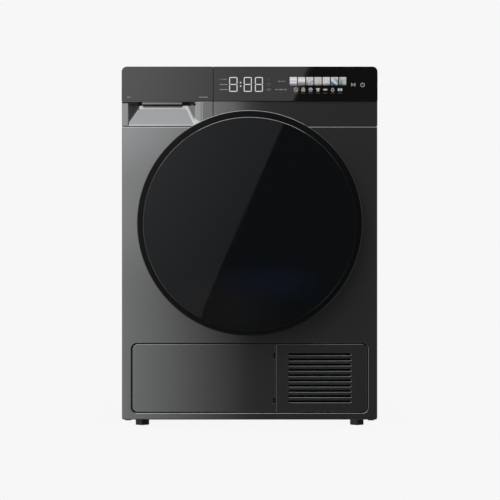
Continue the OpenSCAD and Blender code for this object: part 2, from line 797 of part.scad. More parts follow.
// Fin pack with its end plates and return bends; y is its middle
module heat_exchanger(y) {
    y0 = y - fin_depth / 2;
    rows = 5;
    row_pitch = (fin_z1 - fin_z0) / rows;
    y_plate(y0 + 1, y0 + fin_depth - 1) {
        for (z = [fin_z0 + 1, fin_z1 - 1 - fin_plate_t])
            translate([fin_x0 + 1, z]) square([fin_x1 - fin_x0 - 2, fin_plate_t]);
        for (x = [fin_x0 + fin_pitch:fin_pitch:fin_x1 - fin_pitch])
            translate([x, fin_z0 + 1]) square([fin_t, fin_z1 - fin_z0 - 2]);
    }
    for (x = [fin_x0, fin_x1 - 2]) block(x, x + 2, y0, y0 + fin_depth, fin_z0, fin_z1);
    for (i = [0:rows - 1], dy = [-28, 28])
        translate([fin_x1, y + dy, fin_z0 + row_pitch * (i + 0.5)]) rotate([90, 0, 90])
            rotate_extrude(angle = 180, $fn = 32) translate([9, 0]) circle(r = 3.5, $fn = 24);
}

module evaporator() { color("lightsteelblue") heat_exchanger(evaporator_y); }
module condenser() { color("lightsteelblue") heat_exchanger(condenser_y); }

module compressor() {
    r = compressor_r;
    h = compressor_h;
    color("black") translate([compressor_x, compressor_y, compressor_z]) {
        rotate_extrude() polygon(concat([[0, 0], [r - 8, 0], [r, 8], [r, h - 22]],
            [for (a = [15:15:75]) [r - 22 + 22 * cos(a), h - 22 + 22 * sin(a)]],
            [[r - 22, h], [0, h]]));
        difference() {
            translate([0, 0, 8]) cylinder(h = 4, r = r + 6);
            for (a = [30, 150, 270]) rotate([0, 0, a]) translate([r + 5, 0, 7]) cylinder(h = 6, r = 8);
        }
        translate([-24, r + 22, 20]) cylinder(h = 110, r = 20);
        translate([-30, r - 8, 50]) cube([12, 18, 10]);
    }
}

// Pipe through a list of points, with a knuckle at each bend
module pipe(points, r) {
    for (i = [0:len(points) - 2]) {
        d = points[i + 1] - points[i];
        l = norm(d);
        translate(points[i]) rotate([0, acos(d[2] / l), atan2(d[1], d[0])])
            cylinder(h = l, r = r, $fn = 32);
    }
    for (i = [1:1:len(points) - 2]) translate(points[i]) sphere(r = r + 0.3, $fn = 32);
}

module refrigerant_pipes() {
    side_y = compressor_y - compressor_r;
    high_z = compressor_z + compressor_h - 30;
    color("peru") {
        pipe([[fin_x1, evaporator_y, pipe_z], [100, evaporator_y, pipe_z], [100, compressor_y, pipe_z],
            [compressor_x - compressor_r, compressor_y, pipe_z]], pipe_r);
        pipe([[compressor_x, side_y, high_z], [compressor_x, condenser_y, high_z],
            [compressor_x, condenser_y, pipe_z], [fin_x1, condenser_y, pipe_z]], pipe_r);
    }
}

module exchanger_cover() {
    color("dimgray") difference() {
        union() {
            y_plate(front_wall_y0 - 4, front_wall_y0)
                rounded(hatch_x0, hatch_x1, hatch_z0, hatch_z1, [8, 8, 8, 8]);
            block(hatch_x0 + hatch_lap + play, hatch_x1 - hatch_lap - play, front_wall_y0,
                front_wall_y0 + 5, hatch_z0 + hatch_lap + play, hatch_z1 - hatch_lap - play);
        }
        block(hatch_x0 + 12, hatch_x1 - 12, front_wall_y0 - 1, front_wall_y0 + 6,
            hatch_z0 + 12, hatch_z1 - 12);
    }
    color("dimgray") difference() {
        block(hatch_x0 + 12, hatch_x1 - 12, front_wall_y0 + 1, front_wall_y0 + 4,
            hatch_z0 + 12, hatch_z1 - 12);
        block(-150, -60, front_wall_y0, front_wall_y0 + 2.5, 100, 130);
    }
}

// Turning lever; s is 1 where its arm points right at rest
module lever(x, s) {
    y1 = front_wall_y0 - 4 - gap;
    y0 = y1 - lever_t;
    arm = 24;
    color("steelblue") difference() {
        union() {
            y_rod(x, lever_z, y0, y1, 9);
            block(s > 0 ? x : x - arm, s > 0 ? x + arm : x, y0, y1, lever_z - 6, lever_z + 6);
            y_rod(x + s * arm, lever_z, y0, y1, 6);
        }
        y_rod(x, lever_z, y0 - 1, y1 + 1, lever_pin_r + run);
    }
}

module lever_left() { lever(lever_x[0], 1); }
module lever_right() { lever(lever_x[1], -1); }

module condensate_pump() {
    color("dimgray") {
        block(pump_x - pump_half, pump_x + pump_half, pump_y - 22, pump_y + 22, floor_z, floor_z + pump_h);
        z_rod(pump_x, pump_y, floor_z + pump_h, floor_z + pump_h + pump_motor_h, pump_motor_r);
        translate([pump_x + pump_half, pump_y, hose_start_z]) rotate([0, 90, 0]) cylinder(h = 14, r = 4.5);
    }
}

module pump_hose() {
    x0 = pump_x + pump_half + 14;
    z0 = hose_start_z;
    end_x = tank_x1 - 30;
    color("gainsboro") pipe([[x0, pump_y, z0], [hose_x, pump_y, z0], [hose_x, hose_y, z0],
        [hose_x, hose_y, hose_z], [end_x, hose_y, hose_z], [end_x, housing_y1, hose_z]], hose_r);
}

module power_board_box() {
    x0 = 90;
    x1 = 280;
    y0 = -212;
    y1 = -112;
    color("ghostwhite") difference() {
        union() {
            block(x0, x1, y0, y1, floor_z, floor_z + 44);
            block(x0 - 2, x1 + 2, y0 - 2, y1 + 2, floor_z + 44, floor_z + 52);
            block(x0 + 12, x1 - 12, y0 + 12, y1 - 12, floor_z + 52, floor_z + 56);
        }
        for (i = [0:5]) block(x0 + 24 + 24 * i, x0 + 38 + 24 * i, y0 - 1, y0 + 3,
            floor_z + 10, floor_z + 34);
    }
}

module mains_gland() {
    z = worktop_z - 60;
    color("black") difference() {
        union() {
            y_rod(240, z, panel_y - 6, rear_y, gland_bore_r + 5.5);
            y_rod(240, z, rear_y, rear_y + 8, gland_bore_r + 9);
        }
        y_rod(240, z, panel_y - 7, rear_y + 9, gland_bore_r);
    }
}

module cooling_fan_frame() {
    y0 = front_wall_y1;
    y1 = y0 + fan_depth;
    color("black") difference() {
        union() {
            difference() {
                block(fan_x - fan_half, fan_x + fan_half, y0, y1, fan_z - fan_half, fan_z + fan_half);
                y_rod(fan_x, fan_z, y0 - 1, y1 + 1, cooling_fan_r + 3);
            }
            for (a = [45:90:315]) translate([fan_x, y1 - 5, fan_z]) rotate([0, a, 0])
                block(12, cooling_fan_r + 7, 0, 4, -3, 3);
            y_rod(fan_x, fan_z, y1 - 6, y1, 20);
            y_rod(fan_x, fan_z, y0 + 4, y1 - 2, fan_pin_r);
        }
        for (x = [-1, 1], z = [-1, 1])
            y_rod(fan_x + x * (fan_half - 7), fan_z + z * (fan_half - 7), y0 - 1, y1 + 1, 2.2);
    }
}

module cooling_fan() {
    y0 = front_wall_y1 + 3;
    y1 = front_wall_y1 + fan_depth - 6;
    color("black") difference() {
        union() {
            y_rod(fan_x, fan_z, y0, y1, 18);
            for (i = [0:6]) translate([fan_x, (y0 + y1) / 2, fan_z]) rotate([0, i * 360 / 7, 0])
                rotate([35, 0, 0]) block(16, cooling_fan_r - 2, -9, 9, -0.9, 0.9);
        }
        y_rod(fan_x, fan_z, y0 - 1, y1 + 1, fan_pin_r + run);
    }
}

// ---- Door ----

module door_ring() {
    color("#1a1c1f") difference() {
        about_axis() polygon([
            [glass_r + 0.5, -door_y], [door_r - 1.5, -door_y], [door_r, -door_y - 1.5],
            [door_r, -door_y - 14], [ring_back_r, -door_back_y], [ring_in_r, -door_back_y],
            [ring_in_r, wall - door_back_y], [ring_in_r + 2.6, wall - door_back_y],
            [door_r - 2.5, -door_y - 13], [door_r - 2.5, -ledge_y - 2],
            [glass_r - 10.5, -ledge_y - 2], [glass_r - 10.5, -ledge_y],
            [glass_r + 0.5, -ledge_y]]);
        hinge_room();
        grip_room();
    }
}

// Recess behind the ring's left edge, for the fingers that open the door
module grip_room() {
    block(-door_r + 1, -ring_in_r + 12, door_y + 18, door_back_y + 1,
        door_z - grip_half, door_z + grip_half);
}

// Room in the door for the hinge's pin and the two fixed arms
module hinge_room() {
    for (s = [-1, 1]) translate([0, 0, door_z + s * hinge_arm_dz]) {
        block(hinge_slot_x - 10, hinge_x + 7, ledge_y + 0.05, front_in_y, -3.8, 3.8);
        block(hinge_x, door_r, hinge_y + 6, front_in_y, -3.8, 3.8);
    }
    block(hinge_x - 12, hinge_x + 7, ledge_y + 0.05, hinge_y + 6, door_z - 57, door_z + 57);
}

module door_glass() {
    color("black") about_axis() polygon([[0, -glass_y], [glass_r - 1, -glass_y],
        [glass_r, -glass_y - 1], [glass_r, -ledge_y], [0, -ledge_y]]);
}

module door_inner_frame() {
    back = -door_back_y;
    color("gray") difference() {
        about_axis() polygon([
            [plug_r - wall, back + wall], [ring_in_r, back + wall], [ring_in_r, back], [plug_r, back],
            [plug_r, -plug_y + 4], [plug_r - 4, -plug_y], [window_r - 6, -plug_y],
            [window_r - 6, -plug_y + 1.5], [window_r, -plug_y + 1.5], [window_r, -plug_y + 5.5],
            [plug_r - wall, -plug_y + 5.5]]);
        hinge_room();
        grip_room();
    }
}

module door_window() {
    color("slategray") about_axis() polygon([[0, -plug_y + 1.5], [window_r, -plug_y + 1.5],
        [window_r, -plug_y + 5.5], [0, -plug_y + 5.5]]);
}

module door_hinge() {
    z0 = door_z - hinge_arm_dz - hinge_arm_t / 2;
    z1 = door_z + hinge_arm_dz + hinge_arm_t / 2;
    inner = hinge_arm_dz - hinge_arm_t / 2 - gap;
    color("silver") {
        z_rod(hinge_x, hinge_y, z0 - 6, z1 + 6, hinge_pin_r);
        for (z = [z0 - 6, z1 + gap])
            z_rod(hinge_x, hinge_y, z, z + 5.7, hinge_pin_r + 2);
        difference() {
            union() {
                z_rod(hinge_x, hinge_y, door_z - inner, door_z + inner, hinge_eye_r);
                block(hinge_slot_x + 6, hinge_x, hinge_y + 1, hinge_y + hinge_eye_r,
                    door_z - inner, door_z + inner);
                block(hinge_slot_x - 4, hinge_slot_x + 14, hinge_y + 1, door_back_y - wall,
                    door_z - inner, door_z + inner);
            }
            for (z = [-20, 20]) y_rod(hinge_slot_x + 5, door_z + z, hinge_y, door_back_y, 2.5);
        }
    }
}

module door_strike() {
    color("silver") difference() {
        block(strike_x - 4, strike_x + 4, door_back_y, front_in_y + 14, door_z - 9, door_z + 9);
        block(strike_x - 5, strike_x + 5, front_in_y + 3, front_in_y + 10, door_z - 6, door_z + 6);
    }
    color("silver") block(strike_x - 9, strike_x + 9, door_back_y, door_back_y + 1.5,
        door_z - 18, door_z + 18);
}

// ---- Water tank drawer ----

// Recess of the grip: flush at its lower edge and deepest under the fascia
module scoop(grow) {
    x0 = -half_w + 15 - grow;
    x1 = -drawer_seam_x - 31 + grow;
    front = face_y - (grow > 0 ? 0 : 0.1);
    deep = face_y + scoop_depth + grow;
    top = fascia_z - 1.5;
    low = band_z + 7 - grow;
    points = [[x0, front, top], [x1, front, top], [x1, front, low], [x0 + 1, front, low + 3],
        [x0 + 23, deep, top], [x1 - 20, deep, top]];
    polyhedron(points, [[0, 1, 2, 3], [3, 2, 5, 4], [0, 3, 4], [1, 5, 2], [0, 4, 5, 1]]);
}

module drawer_outline() {
    translate([-shell_x, band_z + seam]) square([shell_x - drawer_seam_x - seam / 2, band_h - seam]);
}

module tank_front() {
    x0 = -half_w;
    x1 = -drawer_seam_x - seam / 2;
    rear = seam_y - 1;
    color("dimgray") difference() {
        union() {
            y_plate(face_y, face_y + wall) drawer_outline();
            scoop(wall);
            difference() {
                y_plate(fascia_y, rear) rounded(x0, x1, fascia_z, machine_h, [0, 0, 0, edge_r]);
                block(x0 + 12, x1 - wall, fascia_y + wall, rear + 1, fascia_z + wall, machine_h - 12);
            }
            for (x = [tank_x0 + 18, tank_x1 - 24])
                block(x, x + 6, fascia_y + 2, tank_y0, fascia_z + 1, tank_z1 - 4);
            block(-shell_x, -shell_x + wall, face_y, rear, band_z + seam, fascia_z);
        }
        scoop(0);
        y_rod(0, door_z, fascia_y - 1, rear + 1, door_r + door_gap);
    }
}

module water_tank() {
    w = 2;
    color("whitesmoke") difference() {
        block(tank_x0, tank_x1, tank_y0, tank_y1, tank_z0, tank_z1);
        block(tank_x0 + w, tank_x1 - w, tank_y0 + w, tank_y1 - w, tank_z0 + w, tank_z1 - w);
        z_rod((tank_x0 + tank_x1) / 2, tank_y1 - 40, tank_z1 - 4, tank_z1 + 1, 20);
    }
}

module tank_housing() {
    x0 = tank_x0 - 2;
    x1 = tank_x1 + 2;
    w = housing_wall;
    y0 = tank_y0 + 3;
    color("silver") {
        difference() {
            block(x0 - w, x1 + w, y0, housing_y1, housing_z0, tank_z1 + 2 + w);
            block(x0, x1, y0 - 1, housing_y1 - w, housing_z0 + w, tank_z1 + 2);
        }
        for (x = [tank_x0 + 8, tank_x1 - 16])
            block(x, x + 8, y0, housing_y1 - w, housing_z0 + w, tank_z0 - gap);
    }
}

// ---- Kick panel ----

module service_flap() {
    x0 = -kick_x + 1;
    inset = 1;
    color("dimgray") difference() {
        union() {
            y_plate(flap_y0, flap_y0 + wall)
                kick_outline(x0, flap_hinge_x, inset, [1, 0, 0, 1]);
            difference() {
                y_plate(flap_y0 + wall, flap_y0 + flap_t)
                    kick_outline(x0, flap_hinge_x - 8, inset, [1, 0, 0, 1]);
                y_plate(flap_y0 + wall - 1, flap_y0 + flap_t + 1)
                    kick_outline(x0 + 2, flap_hinge_x - 10, inset + 2, [1, 0, 0, 1]);
            }
            block(flap_hinge_x - 10, flap_hinge_x, flap_y0, flap_y0 + flap_edge_t,
                kick_z + inset, kick_z1 - inset);
            z_rod(flap_hinge_x, flap_hinge_y, kick_z + inset, kick_z1 - inset, flap_edge_t / 2);
            for (z = [kick_z + 40, kick_z1 - 50])
                block(x0 + 2, x0 + 14, flap_y0 + wall, flap_y0 + flap_t + 2, z, z + 10);
        }
        for (z = flap_hinge_z)
            block(flap_hinge_x - 3.4, flap_x1 + 1, flap_y0 - 1, flap_y0 + flap_t + 1,
                z - notch_h / 2, z + notch_h / 2);
    }
    for (z = flap_hinge_z)
        color("dimgray") z_rod(flap_hinge_x, flap_hinge_y, z - notch_h / 2, z + notch_h / 2, flap_pin_r);
}

module vent_grille() {
    x1 = kick_x - 0.6;
    y1 = flap_y0 + flap_t;
    color("dimgray") difference() {
        union() {
            y_plate(flap_y0, flap_y0 + wall) kick_outline(grille_x0, x1, 1, [0, 1, 1, 0]);
            difference() {
                y_plate(flap_y0 + wall, y1) kick_outline(grille_x0, x1, 1, [0, 1, 1, 0]);
                y_plate(flap_y0 + wall - 1, y1 + 1) kick_outline(grille_x0 + 2, x1 - 2, 3, [0, 1, 1, 0]);
            }
            for (z = [kick_z + 40, kick_z1 - 40])
                block(x1 - 2, kick_x + 1.2, flap_y0 + wall, y1 - 4, z - 8, z + 8);
            for (z = flap_hinge_z) {
                block(flap_hinge_x, grille_x0, flap_hinge_y - 2.4, flap_hinge_y + 2.4,
                    z - lug_t / 2, z + lug_t / 2);
                z_rod(flap_hinge_x, flap_hinge_y, z - lug_t / 2, z + lug_t / 2, flap_pin_r + 1.1);
            }
        }
        for (i = [0:louvres - 1]) louvre_slot(louvre_top_z - louvre_pitch * i);
        for (z = flap_hinge_z)
            z_rod(flap_hinge_x, flap_hinge_y, z - lug_t, z + lug_t, flap_pin_r + run);
    }
    color("dimgray") for (i = [0:louvres - 1]) louvre_blade(louvre_top_z - louvre_pitch * i);
}

module louvre_slot(z) {
    y_plate(flap_y0 - 1, flap_y0 + wall + 1) {
        translate([louvre_x0 + louvre_h / 2, z - louvre_h / 2])
            square([louvre_x1 - louvre_x0 - louvre_h, louvre_h]);
        for (x = [louvre_x0 + louvre_h / 2, louvre_x1 - louvre_h / 2])
            translate([x, z]) circle(r = louvre_h / 2, $fn = 24);
    }
}

// Slanting blade behind a slot, rising from its lower edge
module louvre_blade(z) {
    y = flap_y0 + wall;
    low = z - louvre_h / 2 - 1;
    translate([louvre_x0, 0, 0]) rotate([90, 0, 90]) linear_extrude(height = louvre_x1 - louvre_x0)
        polygon([[y, low], [y, low + 1], [y + 6, low + louvre_h + 1], [y + 6, low + louvre_h]]);
}

// ---- Lint filter ----

// Outline of the filter in X and Z, its top following the loading tunnel
module filter_outline(inset) {
    x = filter_x - inset;
    difference() {
        translate([-x, filter_z0 + inset]) square([2 * x, door_z - opening_r + 30 - filter_z0]);
        translate([0, door_z]) circle(r = filter_top_r + inset);
    }
}

module filter_frame() {
    color("white") difference() {
        y_plate(filter_y0, filter_y1) filter_outline(0);
        y_plate(filter_y0 - 1, filter_y1 + 1) filter_outline(7);
    }
    color("white") for (x = [-50, 0, 50])
        intersection() {
            block(x - 1.5, x + 1.5, filter_y0 + 2, filter_y1 - 2, filter_z0, door_z);
            y_plate(filter_y0, filter_y1) filter_outline(3);
        }
}

module filter_mesh() {
    color("lightgray") for (y = [filter_y0, filter_y1 - 1])
        y_plate(y, y + 1) difference() {
            filter_outline(7);
            for (x = [-81:18:81], z = [filter_z0 + 17:18:door_z - opening_r + 12])
                if (sqrt(x * x + (door_z - z) * (door_z - z)) > filter_top_r + 19)
                    translate([x - 6, z - 6]) square(12);
        }
}

// ---- Tension arm, feet and screws ----

module tension_arm() {
    color("silver") difference() {
        union() {
            y_plate(arm_y0, arm_y1) hull() {
                translate([arm_x, arm_z]) circle(r = 9, $fn = 32);
                translate([idler_x, idler_z]) circle(r = 7, $fn = 32);
            }
            y_rod(idler_x, idler_z, belt_y - 4, arm_y0, 4);
        }
        y_rod(arm_x, arm_z, arm_y0 - 1, arm_y1 + 1, arm_pin_r + run);
    }
}

module idler_pulley() {
    color("white") difference() {
        union() {
            y_rod(idler_x, idler_z, belt_y - 3, belt_y + belt_w + 3, idler_r);
            y_rod(idler_x, idler_z, belt_y - 3, belt_y + belt_w + 5, 8);
        }
        y_rod(idler_x, idler_z, belt_y - 5, belt_y + belt_w + 6, 4 + run);
    }
}

module foot(x, y) {
    color("#202020") {
        translate([x, y, 0]) rotate([0, 0, 30])
            cylinder(h = tray_z - 0.4, r = foot_af / sqrt(3), $fn = 6);
        z_rod(x, y, 4, tray_z + foot_boss_h - 4, foot_stem_r);
    }
}

module foot_front_left() { foot(-foot_x, foot_front_y); }
module foot_front_right() { foot(foot_x, foot_front_y); }
module foot_rear_left() { foot(-foot_x, foot_rear_y); }
module foot_rear_right() { foot(foot_x, foot_rear_y); }

module screw_head(x, y, z) {
    difference() {
        y_rod(x, z, y, y + 2.2, 4.2);
        block(x - 3, x + 3, y + 1.4, y + 3, z - 0.5, z + 0.5);
        block(x - 0.5, x + 0.5, y + 1.4, y + 3, z - 3, z + 3);
    }
}

module cabinet_screws() {
    color("silver") {
        for (s = [-1, 1], z = [screw_z0:(worktop_z - 30 - screw_z0) / 3:worktop_z - 29])
            screw_head(s * (side_in_x - 20), rear_y, z);
        for (a = [-20:40:180])
            screw_head((duct_r + 5) * cos(a), rear_y + sheet_t, door_z + (duct_r + 5) * sin(a));
    }
}

base_tray();
base_cover();
left_side_panel();
right_side_panel();
rear_panel();
rear_duct_cover();
top_panel();
front_panel();
control_frame();
display_glass();
display_board();
tank_housing();
vent_grille();
door_catch();
hinge_bracket();
front_bulkhead();
door_seal();
drum_felts();
drum_bearing();
motor_housing();
blower_housing();
drum_belt();
compressor();
evaporator();
condenser();
refrigerant_pipes();
exchanger_cover();
condensate_pump();
pump_hose();
power_board_box();
mains_gland();
cooling_fan_frame();
cabinet_screws();
door_ring();
door_glass();
door_inner_frame();
door_window();
door_hinge();
door_strike();
tank_front();
water_tank();
service_flap();
filter_frame();
filter_mesh();
drum_shell();
drum_back();
drum_lifters();
motor_shaft();
process_fan();
roller_left();
roller_right();
tension_arm();
idler_pulley();
cooling_fan();
lever_left();
lever_right();
foot_front_left();
foot_front_right();
foot_rear_left();
foot_rear_right();
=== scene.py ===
"""Looks for a heat pump clothes dryer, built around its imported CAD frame.

The front runs along X, -Y points at the viewer and +Z points up. Everything is in metres.
"""

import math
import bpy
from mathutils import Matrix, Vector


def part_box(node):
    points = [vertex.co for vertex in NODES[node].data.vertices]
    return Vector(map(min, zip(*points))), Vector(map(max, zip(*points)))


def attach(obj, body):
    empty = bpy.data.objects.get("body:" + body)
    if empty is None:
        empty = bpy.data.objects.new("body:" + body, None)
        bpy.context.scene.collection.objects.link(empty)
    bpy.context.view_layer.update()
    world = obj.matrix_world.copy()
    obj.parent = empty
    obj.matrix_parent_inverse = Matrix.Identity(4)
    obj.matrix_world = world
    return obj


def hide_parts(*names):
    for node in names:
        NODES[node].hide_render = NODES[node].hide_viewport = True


bl_info = {
    "name": "Clothes Dryer Dressing",
    "version": (1, 0, 0),
    "blender": (4, 5, 0),
    "location": "View3D > Sidebar > Dryer",
    "description": "Builds the visible shells, the display and the finishes of a clothes dryer",
    "category": "Object",
}

import bmesh
import bpy
from mathutils import Vector

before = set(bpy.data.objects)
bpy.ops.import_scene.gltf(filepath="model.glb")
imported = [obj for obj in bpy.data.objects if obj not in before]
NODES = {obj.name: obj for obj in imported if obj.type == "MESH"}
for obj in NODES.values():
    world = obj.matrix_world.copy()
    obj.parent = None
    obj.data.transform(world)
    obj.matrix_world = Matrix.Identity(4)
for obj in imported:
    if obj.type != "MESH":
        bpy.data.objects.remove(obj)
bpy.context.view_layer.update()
for packed in list(bpy.data.materials):
    packed.name = "packed_" + packed.name      # leaves the plain names to the finishes


def low(node):
    """Lowest corner of a CAD node."""
    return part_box(node)[0]


def high(node):
    """Highest corner of a CAD node."""
    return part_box(node)[1]


# Places that the frame gives
HALF_W = high("control_frame").x
TOP_Z = high("top_panel").z
SEAM_Y = low("top_panel").y
BACK_Y = high("top_panel").y
SHELL_X = HALF_W - 0.0001          # front shell, flush with the side panels
PANEL_LOW_Z = low("base_tray").z - 0.0014
FASCIA_Y = low("display_glass").y
FACE_Y = low("front_panel").y
FASCIA_Z = low("display_glass").z
BAND_Z = low("control_frame").z
FRONT_TOP_Z = high("front_panel").z
DRAWER_X = high("tank_front").x
DISPLAY_X = low("display_glass").x
DOOR_MID = (low("door_glass").z + high("door_glass").z) / 2
DOOR_R = high("door_ring").x
GLASS_R = high("door_glass").x
DOOR_Y = low("door_ring").y
DOOR_BACK_Y = high("door_ring").y
PANE_R = GLASS_R - 0.0022          # glass that shows within the ring
PANE_DROP = 0.0022                 # how far the glass sits below the ring's middle
TRIM = 0.0013                      # bright line around the glass
RIM = 0.0017                       # bright line around the ring
RIM_DROP = 0.0007                  # how far the bright line's circle lies below the door's middle
FLAP_LOW, FLAP_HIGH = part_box("service_flap")
GRILLE_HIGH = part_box("vent_grille")[1]
OPENING_R = high("door_seal").x
HINGE_ARMS_Z = (DOOR_MID - 0.042, DOOR_MID + 0.042)
HINGE_SLOT_X = (0.201, 0.215)
STRIKE_SLOT_X = (-0.226, -0.207)
SLOT_DEPTH = 0.0014
GRILLE_FACE_X0 = FLAP_HIGH.x + 0.001

# Water tank drawer's grip
SCOOP_X0 = -HALF_W + 0.0155
SCOOP_X1 = DRAWER_X - 0.0255
SCOOP_LEFT = 0.0364                # run of the left slope
SCOOP_STEP = 0.1                   # share of the depth that the left slope starts with
SCOOP_CAP = 0.77                   # greatest share of the depth that the floor reaches
SCOOP_SHOULDER = (0.019, 0.16)     # width of the right shoulder, and share of the depth it reaches
SCOOP_WALL = 38                    # share of the depth per metre on the wall behind the shoulder
SCOOP_BLEND = (0.1, 0.03, 0.22)    # how softly the floor meets its cap, the left slope and the right one
SCOOP_LOW_Z = BAND_Z + 0.0022
SCOOP_DEPTH = 0.0185

# Strip, black strip of painted shade and lip under the fascia, over the grip: heights of their edges
STRIP_Z = FASCIA_Z - 0.0031
LIP_BEND_Z = FASCIA_Z - 0.0046
LIP_LOW_Z = FASCIA_Z - 0.0071
STRIP_END_Z = FASCIA_Z - 0.0016
SHADE_STRIP_LOW_Z = FASCIA_Z - 0.0080
SHADE_STRIP_Y = FACE_Y + 0.008
PROUD_Y = FACE_Y - 0.0002          # the end strips of painted shade and the strip's upper edge stand out from the face
LIP_X = (SCOOP_X0 + 0.0324, SCOOP_X1 - 0.0480)

# Outlines of the black strips of painted shade, from the lower left corner: behind the lip, at the left end,
# and the lip's tip
TIP_X = SCOOP_X1 - 0.0300
GRIP_SHADE_STRIP = [(SCOOP_X0 + 0.004, SHADE_STRIP_LOW_Z), (SCOOP_X1 - 0.0240, SHADE_STRIP_LOW_Z),
             (SCOOP_X1 - 0.0240, STRIP_END_Z), (SCOOP_X0 + 0.004, STRIP_END_Z)]
END_SHADE_STRIP = [(-SHELL_X + 0.0008, STRIP_END_Z - 0.0034), (SCOOP_X0, STRIP_END_Z - 0.0034),
            (SCOOP_X0, SHADE_STRIP_LOW_Z - 0.0004), (LIP_X[0] - 0.0090, SHADE_STRIP_LOW_Z - 0.0004),
            (LIP_X[0] - 0.0090, STRIP_END_Z), (-SHELL_X + 0.0008, STRIP_END_Z)]
TIP_SHADE_STRIP = [(TIP_X, SHADE_STRIP_LOW_Z), (TIP_X + 0.0050, SHADE_STRIP_LOW_Z), (TIP_X + 0.0094, FASCIA_Z - 0.0106),
            (TIP_X + 0.0145, FASCIA_Z - 0.0068), (TIP_X + 0.0085, STRIP_END_Z), (TIP_X, STRIP_END_Z)]

# Painted light in the door glass's colour, for the drum's lit depths behind it: middle, half width and half
# height, and colour
PAINTED_GLASS_GLOWS = (((0.052, 0.338), (0.15, 0.055), (0.0085, 0.0135, 0.026)),
         ((-0.055, 0.285), (0.16, 0.11), (0.0155, 0.0155, 0.0165)))

# Fascia and drawer
GLASS_T = 0.002                    # thickness of the fascia's glass
MOULDED_T = 0.0025                 # thickness of the moulded shells
DRAWER_GAP = 0.001                 # from the drawer's shells to the cabinet's
SHARP = 0.0004                     # radius of a nearly sharp corner
DRAWER_ARMS = (("left", -0.27), ("right", -0.121))

# Kick panel, and the lugs under the front panel
LUG_X = 0.285
LUG_HALF = 0.007                   # half a lug's width
LOUVRES = 10
LOUVRE_PITCH = 0.0123
LOUVRE_H = 0.005
LOUVRE_TOP_Z = GRILLE_HIGH.z - 0.0250
LOUVRE_X0 = 0.0906
LOUVRE_X1 = 0.2383
BLADE_T = 0.0012                   # thickness of the blades behind the louvres
KICK_T = 0.002                     # thickness of the flap and the grille
KICK_INNER_R = 0.0012              # corners beside the seam between the flap and the grille
KICK_LOW_Z = FLAP_LOW.z - 0.0016   # lower and upper edges of the flap and the grille
KICK_HIGH_Z = FLAP_HIGH.z - 0.0012
NOTCH_H = 0.0125                   # notches of the flap, beside the hinge lugs
NOTCH_W = 0.0060
NOTCHES_Z = (0.0615, 0.167)

TURN_STEPS = 256                   # sides of the turned pieces
SAME_PLACE = 1e-6                  # points nearer than this count as one


# ---- Settings ----


def length_setting(name, description, default, least, most):
    """Setting for a length."""
    return bpy.props.FloatProperty(name=name, description=description, default=default, min=least, max=most,
                                   unit="LENGTH")


def colour_setting(name, description, default):
    """Setting for a colour."""
    return bpy.props.FloatVectorProperty(name=name, description=description, default=default,
                                         subtype="COLOR", size=3, min=0, max=1)


class DryerSizes(bpy.types.PropertyGroup):
    """Sizes of the dressed shells."""

    corner: length_setting("Worktop corner", "Radius of the fascia's upper corners", 0.012, 0.004, 0.014)
    fold: length_setting("Panel fold", "Radius of the front panel's side folds", 0.0022, 0.0005, 0.004)
    edge: length_setting("Moulded edge", "Radius along the edges of moulded covers", 0.0008, 0.0002, 0.002)
    sheet: length_setting("Sheet", "Thickness of the pressed sheet", 0.0014, 0.0006, 0.0015)
    kick_corner: length_setting("Kick corner", "Corner radius of the kick panel", 0.012, 0.004, 0.016)
    stroke: length_setting("Digit stroke", "Width of a lit segment in the display", 0.0020, 0.001, 0.004)


class DryerColours(bpy.types.PropertyGroup):
    """Colours of the finishes."""

    lacquer: colour_setting("Lacquer", "Titanium-grey metallic lacquer of the panels", (0.36, 0.365, 0.37))
    fascia: colour_setting("Fascia", "Body colour under the fascia's glass", (0.004, 0.004, 0.0042))
    glass: colour_setting("Door glass", "Smoke of the door's glass", (0.0065, 0.0088, 0.0105))
    ring: colour_setting("Door ring", "Dark plastic of the door's ring", (0.0045, 0.0045, 0.0048))
    digits: colour_setting("Digits", "Light of the display's digits", (0.86, 0.88, 0.9))


def sizes():
    """The sizes as they are set in the scene."""
    return bpy.context.scene.dryer_sizes


# ---- Outlines: lists of (x, z), counter-clockwise seen from the front ----

LEAST_RADIUS = 0.00015


def sweep(x, z, rx, rz, start, end, steps):
    """Points along an ellipse about (x, z), from a start to an end angle in degrees."""
    turn = [math.radians(start + (end - start) * k / steps) for k in range(steps + 1)]
    return [(x + rx * math.cos(a), z + rz * math.sin(a)) for a in turn]


def rounded(x0, x1, z0, z1, radii, inset=0.0, steps=8):
    """Rectangle with its own radius at each corner: lower left, lower right, upper right, upper left."""
    points = []
    corners = ((x0, z0, 1, 1, 180), (x1, z0, -1, 1, 270), (x1, z1, -1, -1, 0), (x0, z1, 1, -1, 90))
    for (x, z, sx, sz, start), radius in zip(corners, radii):
        r = max(radius - inset, LEAST_RADIUS)
        points += sweep(x + sx * (inset + r), z + sz * (inset + r), r, r, start, start + 90, steps)
    return points


def circle(radius, steps=192, x=0.0, z=DOOR_MID):
    """Circle about the door's middle, or another one."""
    return sweep(x, z, radius, radius, 0, 360, steps)[:-1]


def capsule(x0, x1, z0, z1, grow):
    """Slot with round ends, grown by a margin."""
    half, z = (z1 - z0) / 2, (z0 + z1) / 2
    r = half + grow
    return sweep(x1 - half, z, r, r, -90, 90, 8) + sweep(x0 + half, z, r, r, 90, 270, 8)


def quarter(radius, steps):
    """Points (inset, depth) of a quarter circle from a flat face to the edge it turns back over."""
    turn = [math.pi / 2 * k / steps for k in range(steps + 1)]
    return [(radius * (1 - math.sin(a)), radius * (1 - math.cos(a))) for a in turn]


def quarter_fold(radius, y, steps, back):
    """Stations (inset, y) of an edge that turns back from the face and runs straight on to a depth."""
    return [(inset, y + depth) for inset, depth in quarter(radius, steps)] + [(0.0, back)]


# ---- Meshes ----


